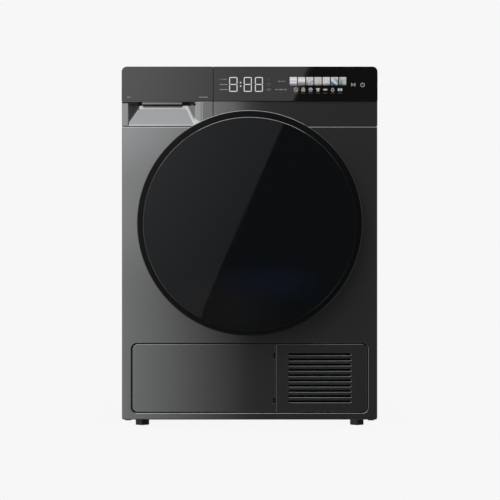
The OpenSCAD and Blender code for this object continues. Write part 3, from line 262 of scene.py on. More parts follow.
def new_piece(name, bm, angle=32, smooth=True):
    """Makes an object from a bmesh, smooth except along its sharp edges."""
    mesh = bpy.data.meshes.new(name)
    bm.to_mesh(mesh)
    bm.free()
    for face in mesh.polygons:
        face.use_smooth = smooth
    if smooth:
        mesh.set_sharp_from_angle(angle=math.radians(angle))
    piece = bpy.data.objects.new(name, mesh)
    bpy.context.scene.collection.objects.link(piece)
    return piece


def closed_piece(name, bm, **look):
    """Makes an object from a closed bmesh, once all its faces point outwards."""
    bmesh.ops.recalc_face_normals(bm, faces=bm.faces)
    return new_piece(name, bm, **look)


def add_loop(bm, outline, y):
    """Vertices of an outline at one depth."""
    return [bm.verts.new((x, y, z)) for x, z in outline]


def bridge(bm, a, b):
    """Quads between two loops of the same length."""
    count = len(a)
    for i in range(count):
        j = (i + 1) % count
        bm.faces.new((a[i], a[j], b[j], b[i]))


def bridge_all(bm, loops):
    """Quads between each loop and the next one."""
    for a, b in zip(loops, loops[1:]):
        bridge(bm, a, b)


def chain(bm, outline, stations):
    """Loops of an outline over its stations (inset, y), with quads between them."""
    loops = [add_loop(bm, outline(inset), y) for inset, y in stations]
    bridge_all(bm, loops)
    return loops


def cap(bm, tip, ring):
    """Triangles from a middle point to a ring."""
    for i in range(len(ring)):
        bm.faces.new((tip, ring[i], ring[(i + 1) % len(ring)]))


def fill_face(bm, loops):
    """Flat face inside the first loop and outside the others."""
    pairs = [(a, b) for loop in loops for a, b in zip(loop, loop[1:] + loop[:1])]
    edges = [bm.edges.get(pair) or bm.edges.new(pair) for pair in pairs]
    bmesh.ops.triangle_fill(bm, use_beauty=True, use_dissolve=False, edges=edges)


def grid_faces(bm, grid):
    """Quads of a grid of vertices, and the grid's rim as a loop."""
    for row, above in zip(grid, grid[1:]):
        for i in range(len(row) - 1):
            bm.faces.new((row[i], row[i + 1], above[i + 1], above[i]))
    return grid[0][:-1] + [row[-1] for row in grid[:-1]] + grid[-1][:0:-1] + [row[0] for row in grid[:0:-1]]


def outward(value, least, most, out):
    """A coordinate at either end of a span moves out of it, and any other stays."""
    if value - least < SAME_PLACE:
        return value - out
    return value + out if most - value < SAME_PLACE else value


def outward_fold(radius, depth):
    """Borders (out, back) that turn back from a rim through a quarter circle and run on to a depth."""
    return [(radius - inset, back) for inset, back in quarter(radius, 4)] + [(radius, depth)]


def face_outwards(bm, y_face):
    """Turns the normals so that the flat face at y_face looks at the viewer."""
    bmesh.ops.remove_doubles(bm, verts=bm.verts, dist=SAME_PLACE)
    bmesh.ops.recalc_face_normals(bm, faces=bm.faces)
    bm.normal_update()
    front = max(bm.faces, key=lambda f: (abs(f.normal.y) > 0.99 and
                                         abs(f.calc_center_median().y - y_face) < 1e-5, f.calc_area()))
    if front.normal.y > 0:
        bmesh.ops.reverse_faces(bm, faces=bm.faces)


def thicken(piece, thickness):
    """Gives an open sheet its thickness, inwards."""
    shell = piece.modifiers.new("Thickness", "SOLIDIFY")
    shell.thickness = thickness
    shell.offset = -1


def pressed(name, outer, stations, holes=(), *, thickness):
    """Pressed or moulded cover: a flat face, edges that turn back, and holes with lips.

    outer and each hole are functions of an inset, stations are (inset, y) from the face to the back,
    and holes are pairs of such a function and its stations.
    """
    bm = bmesh.new()
    chains = [chain(bm, *edge) for edge in ((outer, stations), *holes)]
    fill_face(bm, [loops[0] for loops in chains])
    face_outwards(bm, stations[0][1])
    piece = new_piece(name, bm)
    thicken(piece, thickness)
    return piece


def plate(name, outline, y0, y1, edge):
    """Closed plate from y0 to y1 with rounded front edges."""
    bm = bmesh.new()
    loops = chain(bm, outline, quarter_fold(edge, y0, 4, y1))
    fill_face(bm, loops[:1])
    fill_face(bm, loops[-1:])
    face_outwards(bm, y0)
    return new_piece(name, bm)


def turned(name, profile, drop=0.0, closed=False):
    """Body turned about an axis along Y below the door's middle, from (radius, y) points.

    A third number of a point is how far its own circle lies below that axis.
    """
    bm = bmesh.new()
    middle = DOOR_MID - drop
    rings = []
    for radius, y, *lower in profile:
        if radius == 0:
            rings.append([bm.verts.new((0.0, y, middle))])
        else:
            rings.append(add_loop(bm, circle(radius, TURN_STEPS, z=middle - sum(lower)), y))
    for a, b in zip(rings, rings[1:] + (rings[:1] if closed else [])):
        if len(a) == 1:
            cap(bm, a[0], b)
        elif len(b) == 1:
            cap(bm, b[0], a)
        else:
            bridge(bm, a, b)
    return closed_piece(name, bm, angle=28)


# ---- Materials ----

WAVES_PER_M = 0.314                # scale of a wave texture whose bands are a metre apart


def feed(owner, socket, value):
    """Gives a socket a number, a colour or another node's result."""
    if isinstance(value, bpy.types.NodeSocket):
        owner.node_tree.links.new(value, socket)
    elif socket.type == "RGBA":
        socket.default_value = (*value, 1)
    else:
        socket.default_value = value


def add_node(owner, kind, settings=None, **inputs):
    """New shader node of a material, a light or the world."""
    node = owner.node_tree.nodes.new(kind)
    for key, value in (settings or {}).items():
        setattr(node, key, value)
    for key, value in inputs.items():
        feed(owner, node.inputs[key.replace("_", " ")], value)
    return node


def worked(owner, operation, *values):
    """Result of a calculation on numbers or other nodes' results."""
    node = add_node(owner, "ShaderNodeMath", {"operation": operation})
    for value, socket in zip(values, node.inputs):
        feed(owner, socket, value)
    return node.outputs[0]


def ramp(owner, value, low, high, start, end, kind="SMOOTHSTEP"):
    """Run from start to end as the value goes from low to high."""
    return add_node(owner, "ShaderNodeMapRange", {"interpolation_type": kind}, Value=value, From_Min=low,
                    From_Max=high, To_Min=start, To_Max=end).outputs["Result"]


def spread(mat, value, low, high, start=0.3, end=0.7):
    """A value from start to end becomes one from low to high."""
    return ramp(mat, value, start, end, low, high, "LINEAR")


def mixed(owner, share, a, b, kind="RGBA"):
    """Colour, or number, between a at a share of 0 and b at 1."""
    node = add_node(owner, "ShaderNodeMix", {"data_type": kind}, Factor=share)
    first, result = (6, 2) if kind == "RGBA" else (2, 0)
    feed(owner, node.inputs[first], a)
    feed(owner, node.inputs[first + 1], b)
    return node.outputs[result]


def drive(mat, socket, value):
    """Feeds one socket of a material's shader."""
    feed(mat, mat.node_tree.nodes["Principled BSDF"].inputs[socket], value)


def finish(name, colour, roughness, metallic=0.0, **sockets):
    """New material with the plain values of its shader."""
    mat = bpy.data.materials.new(name)
    mat.use_nodes = True
    mat.diffuse_color = (*colour, 1)
    values = {"Base_Color": colour, "Roughness": roughness, "Metallic": metallic, **sockets}
    for key, value in values.items():
        drive(mat, key.replace("_", " "), value)
    return mat


def place(mat, stretch=(1, 1, 1)):
    """Position on the piece, stretched along its axes."""
    where = add_node(mat, "ShaderNodeTexCoord").outputs["Object"]
    return add_node(mat, "ShaderNodeMapping", Vector=where, Scale=stretch).outputs["Vector"]


def grain(mat, size, stretch=(1, 1, 1), detail=2.0):
    """Noise whose features are about size across, in metres."""
    return add_node(mat, "ShaderNodeTexNoise", Vector=place(mat, stretch), Scale=1 / size,
                    Detail=detail, Roughness=0.55).outputs["Fac"]


def cells(mat, count, channel):
    """Random number for each of the cells, so many to a metre."""
    pattern = add_node(mat, "ShaderNodeTexVoronoi", {"feature": "F1"}, Vector=place(mat), Scale=count)
    return add_node(mat, "ShaderNodeSeparateColor", Color=pattern.outputs["Color"]).outputs[channel]


def waves(mat, direction, scale, distortion=0.0, kind="BANDS", **sockets):
    """Waves from 0 to 1, in bands across a direction or in rings."""
    return add_node(mat, "ShaderNodeTexWave", {"wave_type": kind, "bands_direction": direction},
                    Vector=place(mat), Scale=scale, Distortion=distortion, **sockets).outputs["Fac"]


def tone(mat, colour, value, depth):
    """Base colour that wanders by depth around a colour."""
    drive(mat, "Base Color", mixed(mat, value, *([c * share for c in colour]
                                                 for share in (1 - depth, 1 + depth))))


def emboss(mat, height, distance):
    """Bump of a height of 0 to 1 over a distance, in metres."""
    drive(mat, "Normal", add_node(mat, "ShaderNodeBump", Height=height, Distance=distance,
                                  Strength=1.0).outputs["Normal"])


def lacquer(name, colour, rough):
    """Metallic lacquer on steel, with fine flake and slight orange peel."""
    mat = finish(name, colour, rough, 0.92, IOR=1.45)
    speck = cells(mat, 2600, "Red")
    cloud = spread(mat, grain(mat, 0.35, detail=1), 0, 0.4)
    tone(mat, colour, worked(mat, "MULTIPLY_ADD", speck, 0.6, cloud), 0.05)
    drive(mat, "Roughness", spread(mat, speck, rough - 0.02, rough + 0.03, 0, 1))
    emboss(mat, grain(mat, 0.0035, detail=1), 0.0000025)


def moulded(name, colour, rough, size=0.0009, depth=0.000012, **sockets):
    """Moulded plastic with a fine spark-eroded grain."""
    mat = finish(name, colour, rough, **sockets)
    texture = grain(mat, size, detail=3)
    tone(mat, colour, grain(mat, 0.06, detail=1), 0.05)
    drive(mat, "Roughness", spread(mat, texture, rough - 0.05, rough + 0.06))
    emboss(mat, texture, depth)


def gloss(name, colour, ior, rough=0.03):
    """Polished glass-like face with faint wipe marks."""
    mat = finish(name, colour, rough, IOR=ior)
    drive(mat, "Roughness", spread(mat, grain(mat, 0.09, (1, 1, 2.5)), rough * 0.7, rough * 1.5))


def zinc(name):
    """Galvanised sheet with its spangle."""
    colour = (0.46, 0.47, 0.485)
    mat = finish(name, colour, 0.42, 0.95)
    spangle = cells(mat, 70, "Green")
    tone(mat, colour, spangle, 0.14)
    drive(mat, "Roughness", spread(mat, spangle, 0.32, 0.5, 0, 1))
    emboss(mat, grain(mat, 0.004), 0.00001)


def brushed(name, colour, stretch, rough=0.24):
    """Rolled or brushed metal, with fine lines along one axis."""
    mat = finish(name, colour, rough, 1.0)
    lines = grain(mat, 0.0012, stretch, detail=4)
    tone(mat, colour, lines, 0.06)
    drive(mat, "Roughness", spread(mat, lines, rough - 0.06, rough + 0.1))
    emboss(mat, lines, 0.000004)


def fins(name, pitch):
    """Stacked aluminium fins, seen from their edges, with painted shade in the gaps between them."""
    mat = finish(name, (0.62, 0.64, 0.66), 0.34, 0.95)
    lines = waves(mat, "X", WAVES_PER_M / pitch)
    # painted shade: the dark bands between the bright fin edges
    drive(mat, "Base Color", mixed(mat, lines, (0.16, 0.165, 0.17), (0.7, 0.72, 0.74)))
    emboss(mat, lines, 0.0004)


def wool(name, colour):
    """Pressed felt with short fibres."""
    mat = finish(name, colour, 0.95, Sheen_Weight=0.4, Sheen_Roughness=0.5)
    fibre = grain(mat, 0.0012, (1, 0.25, 1), detail=5)
    tone(mat, colour, fibre, 0.25)
    emboss(mat, fibre, 0.0003)


def gauze(name):
    """Fine filter mesh: threads crossed along X and Z, with painted shade in the openings between them."""
    mat = finish(name, (0.5, 0.52, 0.54), 0.6)
    threads = worked(mat, "MAXIMUM", *(waves(mat, direction, 160.0) for direction in ("X", "Z")))
    # painted shade: the openings between the threads are near black
    drive(mat, "Base Color", mixed(mat, threads, (0.03, 0.03, 0.032), (0.6, 0.62, 0.64)))
    emboss(mat, threads, 0.0003)


def circuit(name):
    """Green circuit board with lighter tracks."""
    mat = finish(name, (0.01, 0.09, 0.035), 0.35, Coat_Weight=0.3)
    tracks = add_node(mat, "ShaderNodeTexBrick", {"offset": 0.37}, Vector=place(mat), Scale=90.0,
                      Color1=(0.008, 0.075, 0.03), Color2=(0.012, 0.11, 0.045),
                      Mortar=(0.05, 0.2, 0.09), Mortar_Size=0.03)
    drive(mat, "Base Color", tracks.outputs["Color"])
    emboss(mat, tracks.outputs["Fac"], 0.00005)


def lamp(name, colour, strength):
    """Finish of a lit mark, a little uneven as a light guide is."""
    mat = finish(name, (0.02, 0.02, 0.02), 0.05, IOR=1.6, Emission_Strength=strength)
    drive(mat, "Emission Color", mixed(mat, spread(mat, grain(mat, 0.006), 0, 1),
                                       [c * 0.93 for c in colour], colour))


def clear_hose(name, colour):
    """Ribbed, half clear hose."""
    mat = finish(name, colour, 0.25, Transmission_Weight=0.35)
    ribs = grain(mat, 0.004, (1, 1, 0.2))
    tone(mat, colour, ribs, 0.1)
    emboss(mat, ribs, 0.0002)


def smoked(name, colour):
    """Door glass: smoked, with painted light in its colour: the drum's window shows as a faintly lighter,
    bluish depth.
    """
    mat = finish(name, colour, 0.02, IOR=1.47)
    paint = colour
    # painted light: each patch lightens the glass's base colour where the drum's lit interior shows through
    for (x, z), (wide, tall), glow in PAINTED_GLASS_GLOWS[::-1]:
        around = add_node(mat, "ShaderNodeMapping", Vector=place(mat), Location=(-x / wide, 0, -z / tall),
                          Scale=(1 / wide, 0, 1 / tall)).outputs["Vector"]
        far = add_node(mat, "ShaderNodeVectorMath", {"operation": "LENGTH"}, Vector=around)
        depth = ramp(mat, far.outputs["Value"], 0.15, 1.0, 1.0, 0.0)
        painted_glow_wisps = spread(mat, grain(mat, 0.05, (0.6, 1, 1.6)), 0.7, 1.0)
        paint = mixed(mat, worked(mat, "MULTIPLY", depth, painted_glow_wisps), paint, glow)
    drive(mat, "Base Color", paint)
    drive(mat, "Roughness", spread(mat, grain(mat, 0.12), 0.015, 0.03))


def stored(name):
    """A finish by its name."""
    found = bpy.data.materials.get(name)
    if found is None:
        raise RuntimeError(f"make the finishes first: there is no {name}")
    return found


def dress(piece, mat):
    """Gives a piece one material all over, by the material's name."""
    piece.data.materials.clear()
    piece.data.materials.append(stored(mat))


def fit(piece, body, slot, mat, *nodes):
    """Dresses a piece, shades it evenly, and puts it on its body in place of CAD nodes."""
    dress(piece, mat)
    even = piece.modifiers.new("Even shading", "WEIGHTED_NORMAL")
    even.keep_sharp = True
    even.weight = 100
    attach(piece, body)
    if nodes:
        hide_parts(*nodes)


# ---- Shells ----


def boxes_mesh(name, boxes):
    """One mesh of several closed boxes, each a pair of corners."""
    bm = bmesh.new()
    sides = ((0, 1, 3, 2), (4, 6, 7, 5), (0, 4, 5, 1), (2, 3, 7, 6), (0, 2, 6, 4), (1, 5, 7, 3))
    for (x0, y0, z0), (x1, y1, z1) in boxes:
        corners = [bm.verts.new((x, y, z)) for x in (x0, x1) for y in (y0, y1) for z in (z0, z1)]
        for side in sides:
            bm.faces.new([corners[k] for k in side])
    return closed_piece(name, bm, smooth=False)


def extruded(name, bars):
    """Closed bars along X, each from its two ends and its outline of (y, z)."""
    bm = bmesh.new()
    for x0, x1, outline in bars:
        ends = [[bm.verts.new((x, y, z)) for y, z in outline] for x in (x0, x1)]
        bridge(bm, *ends)
        bm.faces.new(ends[0])
        bm.faces.new(ends[1][::-1])
    return closed_piece(name, bm, angle=8)


def upright(name, x, y, z0, z1, radius):
    """Rod along Z with eased ends."""
    bm = bmesh.new()
    edge = 0.0004
    levels = ((radius - edge, z0), (radius, z0 + edge), (radius, z1 - edge), (radius - edge, z1))
    rings = [[bm.verts.new((a, b, z)) for a, b in circle(r, 32, x, y)] for r, z in levels]
    bridge_all(bm, rings)
    for ring, z in ((rings[0], z0), (rings[-1], z1)):
        cap(bm, bm.verts.new((x, y, z)), ring)
    return closed_piece(name, bm)


def soften(piece, width, segments=3, angle=35):
    """Rounds the edges of a piece."""
    ease = piece.modifiers.new("Eased edges", "BEVEL")
    ease.width = width
    ease.segments = segments
    ease.limit_method = "ANGLE"
    ease.angle_limit = math.radians(angle)


def cut(piece, boxes):
    """Takes boxes out of a closed piece, for good."""
    cutters = [boxes_mesh(f"{piece.name}_cut_{i}", [box]) for i, box in enumerate(boxes)]
    for cutter in cutters:
        tool = piece.modifiers.new("Cut", "BOOLEAN")
        tool.object = cutter
        tool.operation = "DIFFERENCE"
        tool.solver = "MANIFOLD"
    graph = bpy.context.evaluated_depsgraph_get()
    made = bpy.data.meshes.new_from_object(piece.evaluated_get(graph))
    whole = piece.data
    piece.modifiers.clear()
    piece.data = made
    bpy.data.meshes.remove(whole)
    for cutter in cutters:
        bpy.data.objects.remove(cutter)
    piece.data.set_sharp_from_angle(angle=math.radians(30))


def field(name, xs, zs, height, borders):
    """Cover whose face follows height(x, z), with edges that turn back over the borders' stations."""
    bm = bmesh.new()
    rim = grid_faces(bm, [[bm.verts.new((x, height(x, z), z)) for x in xs] for z in zs])
    loops = [rim] + [[bm.verts.new((outward(v.co.x, xs[0], xs[-1], out), max(v.co.y, FACE_Y) + back,
                                    outward(v.co.z, zs[0], zs[-1], out))) for v in rim]
                     for out, back in borders[1:]]
    bridge_all(bm, loops)
    bmesh.ops.recalc_face_normals(bm, faces=bm.faces)
    if sum(f.normal.y for f in bm.faces if abs(f.normal.y) > 0.9) > 0:
        bmesh.ops.reverse_faces(bm, faces=bm.faces)
    return new_piece(name, bm, angle=50)


def steps_between(a, b, pitch):
    """Even steps from a to b, about a pitch apart."""
    count = max(1, round((b - a) / pitch))
    return [a + (b - a) * i / count for i in range(count + 1)]


def soft_min(a, b, k):
    """The smaller of two, blended where they are within k of each other."""
    h = max(k - abs(a - b), 0) / k
    return min(a, b) - h * h * k / 4


def scoop(x, z):
    """Y of the drawer's band, with the grip's recess."""
    floor = (z - SCOOP_LOW_Z) / (FASCIA_Z - SCOOP_LOW_Z)
    left = (x - SCOOP_X0) / SCOOP_LEFT + (SCOOP_STEP if x > SCOOP_X0 else 0)
    width, reach = SCOOP_SHOULDER
    right = (SCOOP_X1 - x) / width
    if right > 0:
        right = reach * min(right, 1) ** 2 + max(right - 1, 0) * width * SCOOP_WALL
    floor = soft_min(floor, SCOOP_CAP, SCOOP_BLEND[0])
    share = soft_min(soft_min(floor, left, SCOOP_BLEND[1]), right, SCOOP_BLEND[2])
    return FACE_Y + SCOOP_DEPTH * max(0.0, -soft_min(-share, 0, SCOOP_BLEND[1]))


class DRYER_OT_finishes(bpy.types.Operator):
    """Make the finishes of the shells and of the inner parts"""
    bl_idname = "dryer.finishes"
    bl_label = "Finishes"

    def execute(self, context):
        hue = context.scene.dryer_colours
        lacquer("panel_lacquer", tuple(hue.lacquer), 0.088)
        lacquer("moulded_lacquer", tuple(c * 0.97 for c in hue.lacquer), 0.092)
        gloss("fascia_black", tuple(hue.fascia), 2.1)
        smoked("smoked_glass", tuple(hue.glass))
        moulded("ring_black", tuple(hue.ring), 0.28, 0.0008, 0.000004, IOR=1.3)
        moulded("dark_chrome", (0.21, 0.212, 0.218), 0.18, 0.02, 0.0000004, Metallic=1.0)
        zinc("galvanised")
        brushed("stainless", (0.6, 0.61, 0.62), (0.4, 6, 0.4))
        moulded("grey_moulding", (0.105, 0.115, 0.125), 0.42)
        moulded("black_moulding", (0.012, 0.012, 0.013), 0.4)
        moulded("white_moulding", (0.72, 0.73, 0.74), 0.35)
        moulded("worktop_laminate", (0.085, 0.087, 0.09), 0.4, 0.0006, 0.00003)
        moulded("black_rubber", (0.014, 0.014, 0.014), 0.75, 0.0012, 0.00003)
        moulded("grey_rubber", (0.05, 0.055, 0.06), 0.6, 0.002, 0.00003)
        moulded("blue_levers", (0.03, 0.095, 0.28), 0.38)
        moulded("compressor_black", (0.01, 0.01, 0.01), 0.3, 0.004, 0.00004, Coat_Weight=0.4)
        wool("wool_felt", (0.6, 0.57, 0.5))
        circuit("circuit_board")
        fins("fin_pack", 0.0022)
        brushed("copper_tube", (0.75, 0.36, 0.2), (1, 1, 1), 0.3)
        clear_hose("clear_hose", (0.55, 0.57, 0.58))
        gauze("filter_gauze")
        for name, strength in (("digit", 0.83), ("label", 0.24), ("faint", 0.1), ("touch", 0.42)):
            lamp(name + "_light", tuple(hue.digits), strength)
        gloss("inner_window", (0.02, 0.022, 0.025), 1.5, 0.06)
        moulded("foot_black", (0.07, 0.07, 0.072), 0.3, 0.0012, 0.00001, Metallic=0.6)
        return {"FINISHED"}


class DRYER_OT_front_shell(bpy.types.Operator):
    """Press the steel front: folded edges, loading opening and the opening of the kick panel"""
    bl_idname = "dryer.front_shell"
    bl_label = "Front panel"

    def execute(self, context):
        size = sizes()
        kick_x = GRILLE_HIGH.x + 0.0006
        kick = (-kick_x, kick_x, KICK_LOW_Z - 0.0022, KICK_HIGH_Z + 0.0020, (size.kick_corner + 0.0012,) * 4)
        holes = [
            (lambda i: circle(OPENING_R + i), quarter_fold(0.003, FACE_Y, 5, FACE_Y + 0.012)),
            (lambda i: rounded(*kick, -i), quarter_fold(0.0015, FACE_Y, 4, FACE_Y + 0.009)),
        ]
        # Slots for the hinge's arms and the strike: ends, middle, half height and corner radius
        slots = [(*HINGE_SLOT_X, z, 0.0045, 0.001) for z in HINGE_ARMS_Z]
        slots.append((*STRIKE_SLOT_X, DOOR_MID, 0.014, 0.002))
        for x0, x1, z, half, radius in slots:
            spot = (x0, x1, z - half, z + half, (radius,) * 4)
            holes.append((lambda i, spot=spot: rounded(*spot, -i, 3),
                          [(0, FACE_Y), (0, FACE_Y + SLOT_DEPTH)]))
        shell = pressed("front_shell", lambda i: rounded(-SHELL_X, SHELL_X, PANEL_LOW_Z, FRONT_TOP_Z,
                                                         (0.005, 0.005, 0.0025, 0.0025), i),
                        quarter_fold(size.fold, FACE_Y, 6, SEAM_Y - 0.0004), holes,
                        thickness=size.sheet)
        fit(shell, "cabinet", "steel_panel", "panel_lacquer", "front_panel")
        lugs = boxes_mesh("front_lugs", [((x - LUG_HALF, FACE_Y + 0.003, PANEL_LOW_Z - 0.002),
                                          (x + LUG_HALF, FACE_Y + 0.014, PANEL_LOW_Z + 0.001))
                                         for x in (-LUG_X, LUG_X)])
        soften(lugs, 0.0006)
        fit(lugs, "cabinet", "steel_panel", "panel_lacquer")
        return {"FINISHED"}


class DRYER_OT_fascia(bpy.types.Operator):
    """Build the fascia's two glass faces, the shells behind them and the band to the right of the drawer"""
    bl_idname = "dryer.fascia"
    bl_label = "Fascia"

    def execute(self, context):
        size = sizes()
        back_y = FASCIA_Y + GLASS_T
        spans = (("drawer", -HALF_W, DRAWER_X, (SHARP, SHARP, SHARP, size.corner), "tank_drawer",
                  SEAM_Y - DRAWER_GAP, []),
                 ("display", DISPLAY_X, HALF_W, (SHARP, SHARP, size.corner, SHARP), "cabinet",
                  SEAM_Y, ["display_glass"]))
        for name, x0, x1, radii, body, shell_y, nodes in spans:
            glass = plate(name + "_glass", lambda i: rounded(x0, x1, FASCIA_Z, TOP_Z, radii, i),
                          FASCIA_Y, back_y, 0.0005)
            fit(glass, body, "fascia_glass", "fascia_black", *nodes)
            shell = pressed(name + "_shell",
                            lambda i: rounded(x0 + 0.0003, x1 - 0.0003, FASCIA_Z + 0.0003, TOP_Z - 0.0003,
                                              radii, i),
                            [(0.0008, back_y), (0.0, back_y + 0.0008), (0.0, shell_y)], thickness=MOULDED_T)
            fit(shell, body, "panel_plastic", "moulded_lacquer")
        band = pressed("display_band",
                       lambda i: rounded(DISPLAY_X, SHELL_X, BAND_Z, FASCIA_Z, (0.0005,) * 4, i),
                       quarter_fold(size.edge, FACE_Y, 4, SEAM_Y), thickness=MOULDED_T)
        fit(band, "cabinet", "panel_plastic", "moulded_lacquer", "control_frame")
        strip = boxes_mesh("seam_gasket", [((DRAWER_X + 0.0001, FACE_Y + 0.0012, BAND_Z + 0.0004),
                                            (DISPLAY_X - 0.0001, SEAM_Y - 0.0005, TOP_Z - 0.0006))])
        fit(strip, "cabinet", "panel_plastic", "black_rubber")
        return {"FINISHED"}


class DRYER_OT_drawer_band(bpy.types.Operator):
    """Mould the drawer's lower band with its grip recess, and the strip, lip and black strips of painted
    shade over the grip
    """
    bl_idname = "dryer.drawer_band"
    bl_label = "Drawer band"

    def execute(self, context):
        edge = sizes().edge
        xs = steps_between(-SHELL_X + edge, DRAWER_X - edge, 0.0011)
        zs = steps_between(BAND_Z + edge, FASCIA_Z - 0.0004 - edge, 0.0009)
        band = field("drawer_band", xs, zs, scoop, outward_fold(edge, SEAM_Y - DRAWER_GAP - FACE_Y))
        fit(band, "tank_drawer", "panel_plastic", "moulded_lacquer", "tank_front")
        top_z, back = FASCIA_Z - 0.0001, SHADE_STRIP_Y + 0.0015
        middle, side = ([(PROUD_Y, top_z), (FACE_Y + recess, z), (back, z), (back, top_z)]
                        for recess, z in ((0.0006, STRIP_Z), (0.0, STRIP_END_Z)))
        under = extruded("fascia_strip", [(-SHELL_X + 0.0004, LIP_X[0], side), (*LIP_X, middle),
                                          (LIP_X[1], SCOOP_X1 - 0.0160, side)])
        lip = extruded("grip_lip", [(*LIP_X, [
            (FACE_Y + 0.0004, STRIP_Z), (FACE_Y + 0.0008, LIP_BEND_Z), (FACE_Y + 0.0008, LIP_LOW_Z),
            (SHADE_STRIP_Y + 0.0005, LIP_LOW_Z), (SHADE_STRIP_Y + 0.0005, STRIP_Z)])])
        for piece in (under, lip):
            fit(piece, "tank_drawer", "panel_plastic", "moulded_lacquer")
        # painted shade: black strips fill the shaded gap under the fascia, over the grip
        for name, outline, y in (("grip_shade_strip", GRIP_SHADE_STRIP, SHADE_STRIP_Y), ("end_shade_strip", END_SHADE_STRIP, PROUD_Y),
                                 ("tip_shade_strip", TIP_SHADE_STRIP, PROUD_Y)):
            seal = plate(name, lambda i: outline, y, y + 0.0012, 0)
            fit(seal, "tank_drawer", "panel_plastic", "black_rubber")
        for name, x in DRAWER_ARMS:
            rail = plate("drawer_arm_" + name,
                         lambda i: rounded(x, x + 0.006, FASCIA_Z + 0.001, FASCIA_Z + 0.046,
                                           (0.001,) * 4, i, 3),
                         FASCIA_Y + 0.003, low("water_tank").y - 0.0002, 0.0005)
            fit(rail, "tank_drawer", "panel_plastic", "grey_moulding")
        return {"FINISHED"}


class DRYER_OT_kick_panel(bpy.types.Operator):
    """Mould the service flap and the vent grille with its louvres"""
    bl_idname = "dryer.kick_panel"
    bl_label = "Service flap and grille"

    def execute(self, context):
        size = sizes()
        r = size.kick_corner
        x0, x1 = FLAP_LOW.x, FLAP_HIGH.x - 0.0004
        z0, z1 = KICK_LOW_Z, KICK_HIGH_Z
        y = FLAP_LOW.y
        edges = quarter_fold(size.edge * 1.3, y, 4, y + 0.0095)

        def flap_outline(i):
            """Flap with two notches for the hinge lugs in its right edge."""
            steps = 8
            corners = rounded(x0, x1, z0, z1, (r, KICK_INNER_R, KICK_INNER_R, r), i, steps)
            below = 2 * (steps + 1)
            side = []
            for middle in NOTCHES_Z:
                a, b = middle - NOTCH_H / 2 - i, middle + NOTCH_H / 2 + i
                side += [(x1 - i, a), (x1 - NOTCH_W - i, a), (x1 - NOTCH_W - i, b), (x1 - i, b)]
            return corners[:below] + side + corners[below:]

        flap = pressed("flap_cover", flap_outline, edges, thickness=KICK_T)
        fit(flap, "flap", "panel_plastic", "moulded_lacquer", "service_flap")
        slots, blades = [], []
        for k in range(LOUVRES):
            middle = LOUVRE_TOP_Z - LOUVRE_PITCH * k
            slot = (LOUVRE_X0, LOUVRE_X1, middle - LOUVRE_H / 2, middle + LOUVRE_H / 2)
            slots.append((lambda i, slot=slot: capsule(*slot, i), quarter_fold(0.0011, y, 4, y + 0.004)))
            front, back = (y + 0.0045, middle - LOUVRE_H / 2), (y + 0.0105, middle + LOUVRE_H / 2)
            blades.append((LOUVRE_X0, LOUVRE_X1, [(front[0], front[1] - BLADE_T), front,
                                                  back, (back[0], back[1] - BLADE_T)]))
        face = (GRILLE_FACE_X0, GRILLE_HIGH.x - 0.0018, z0, z1, (KICK_INNER_R, r, r, KICK_INNER_R))
        grille = pressed("grille_cover", lambda i: rounded(*face, i), edges, slots, thickness=KICK_T)
        fit(grille, "cabinet", "panel_plastic", "moulded_lacquer", "vent_grille")
        # the blades are real, but their black stands in for the shade inside the slots: painted shade
        fit(extruded("grille_blades", blades), "cabinet", "panel_plastic", "black_moulding")
        for name, z in zip(("lower", "upper"), NOTCHES_Z):
            lug = upright(f"hinge_lug_{name}", x1 - 0.0032, y + 0.0056, z - 0.0055, z + 0.0055, 0.0026)
            fit(lug, "cabinet", "panel_plastic", "black_moulding")
        return {"FINISHED"}


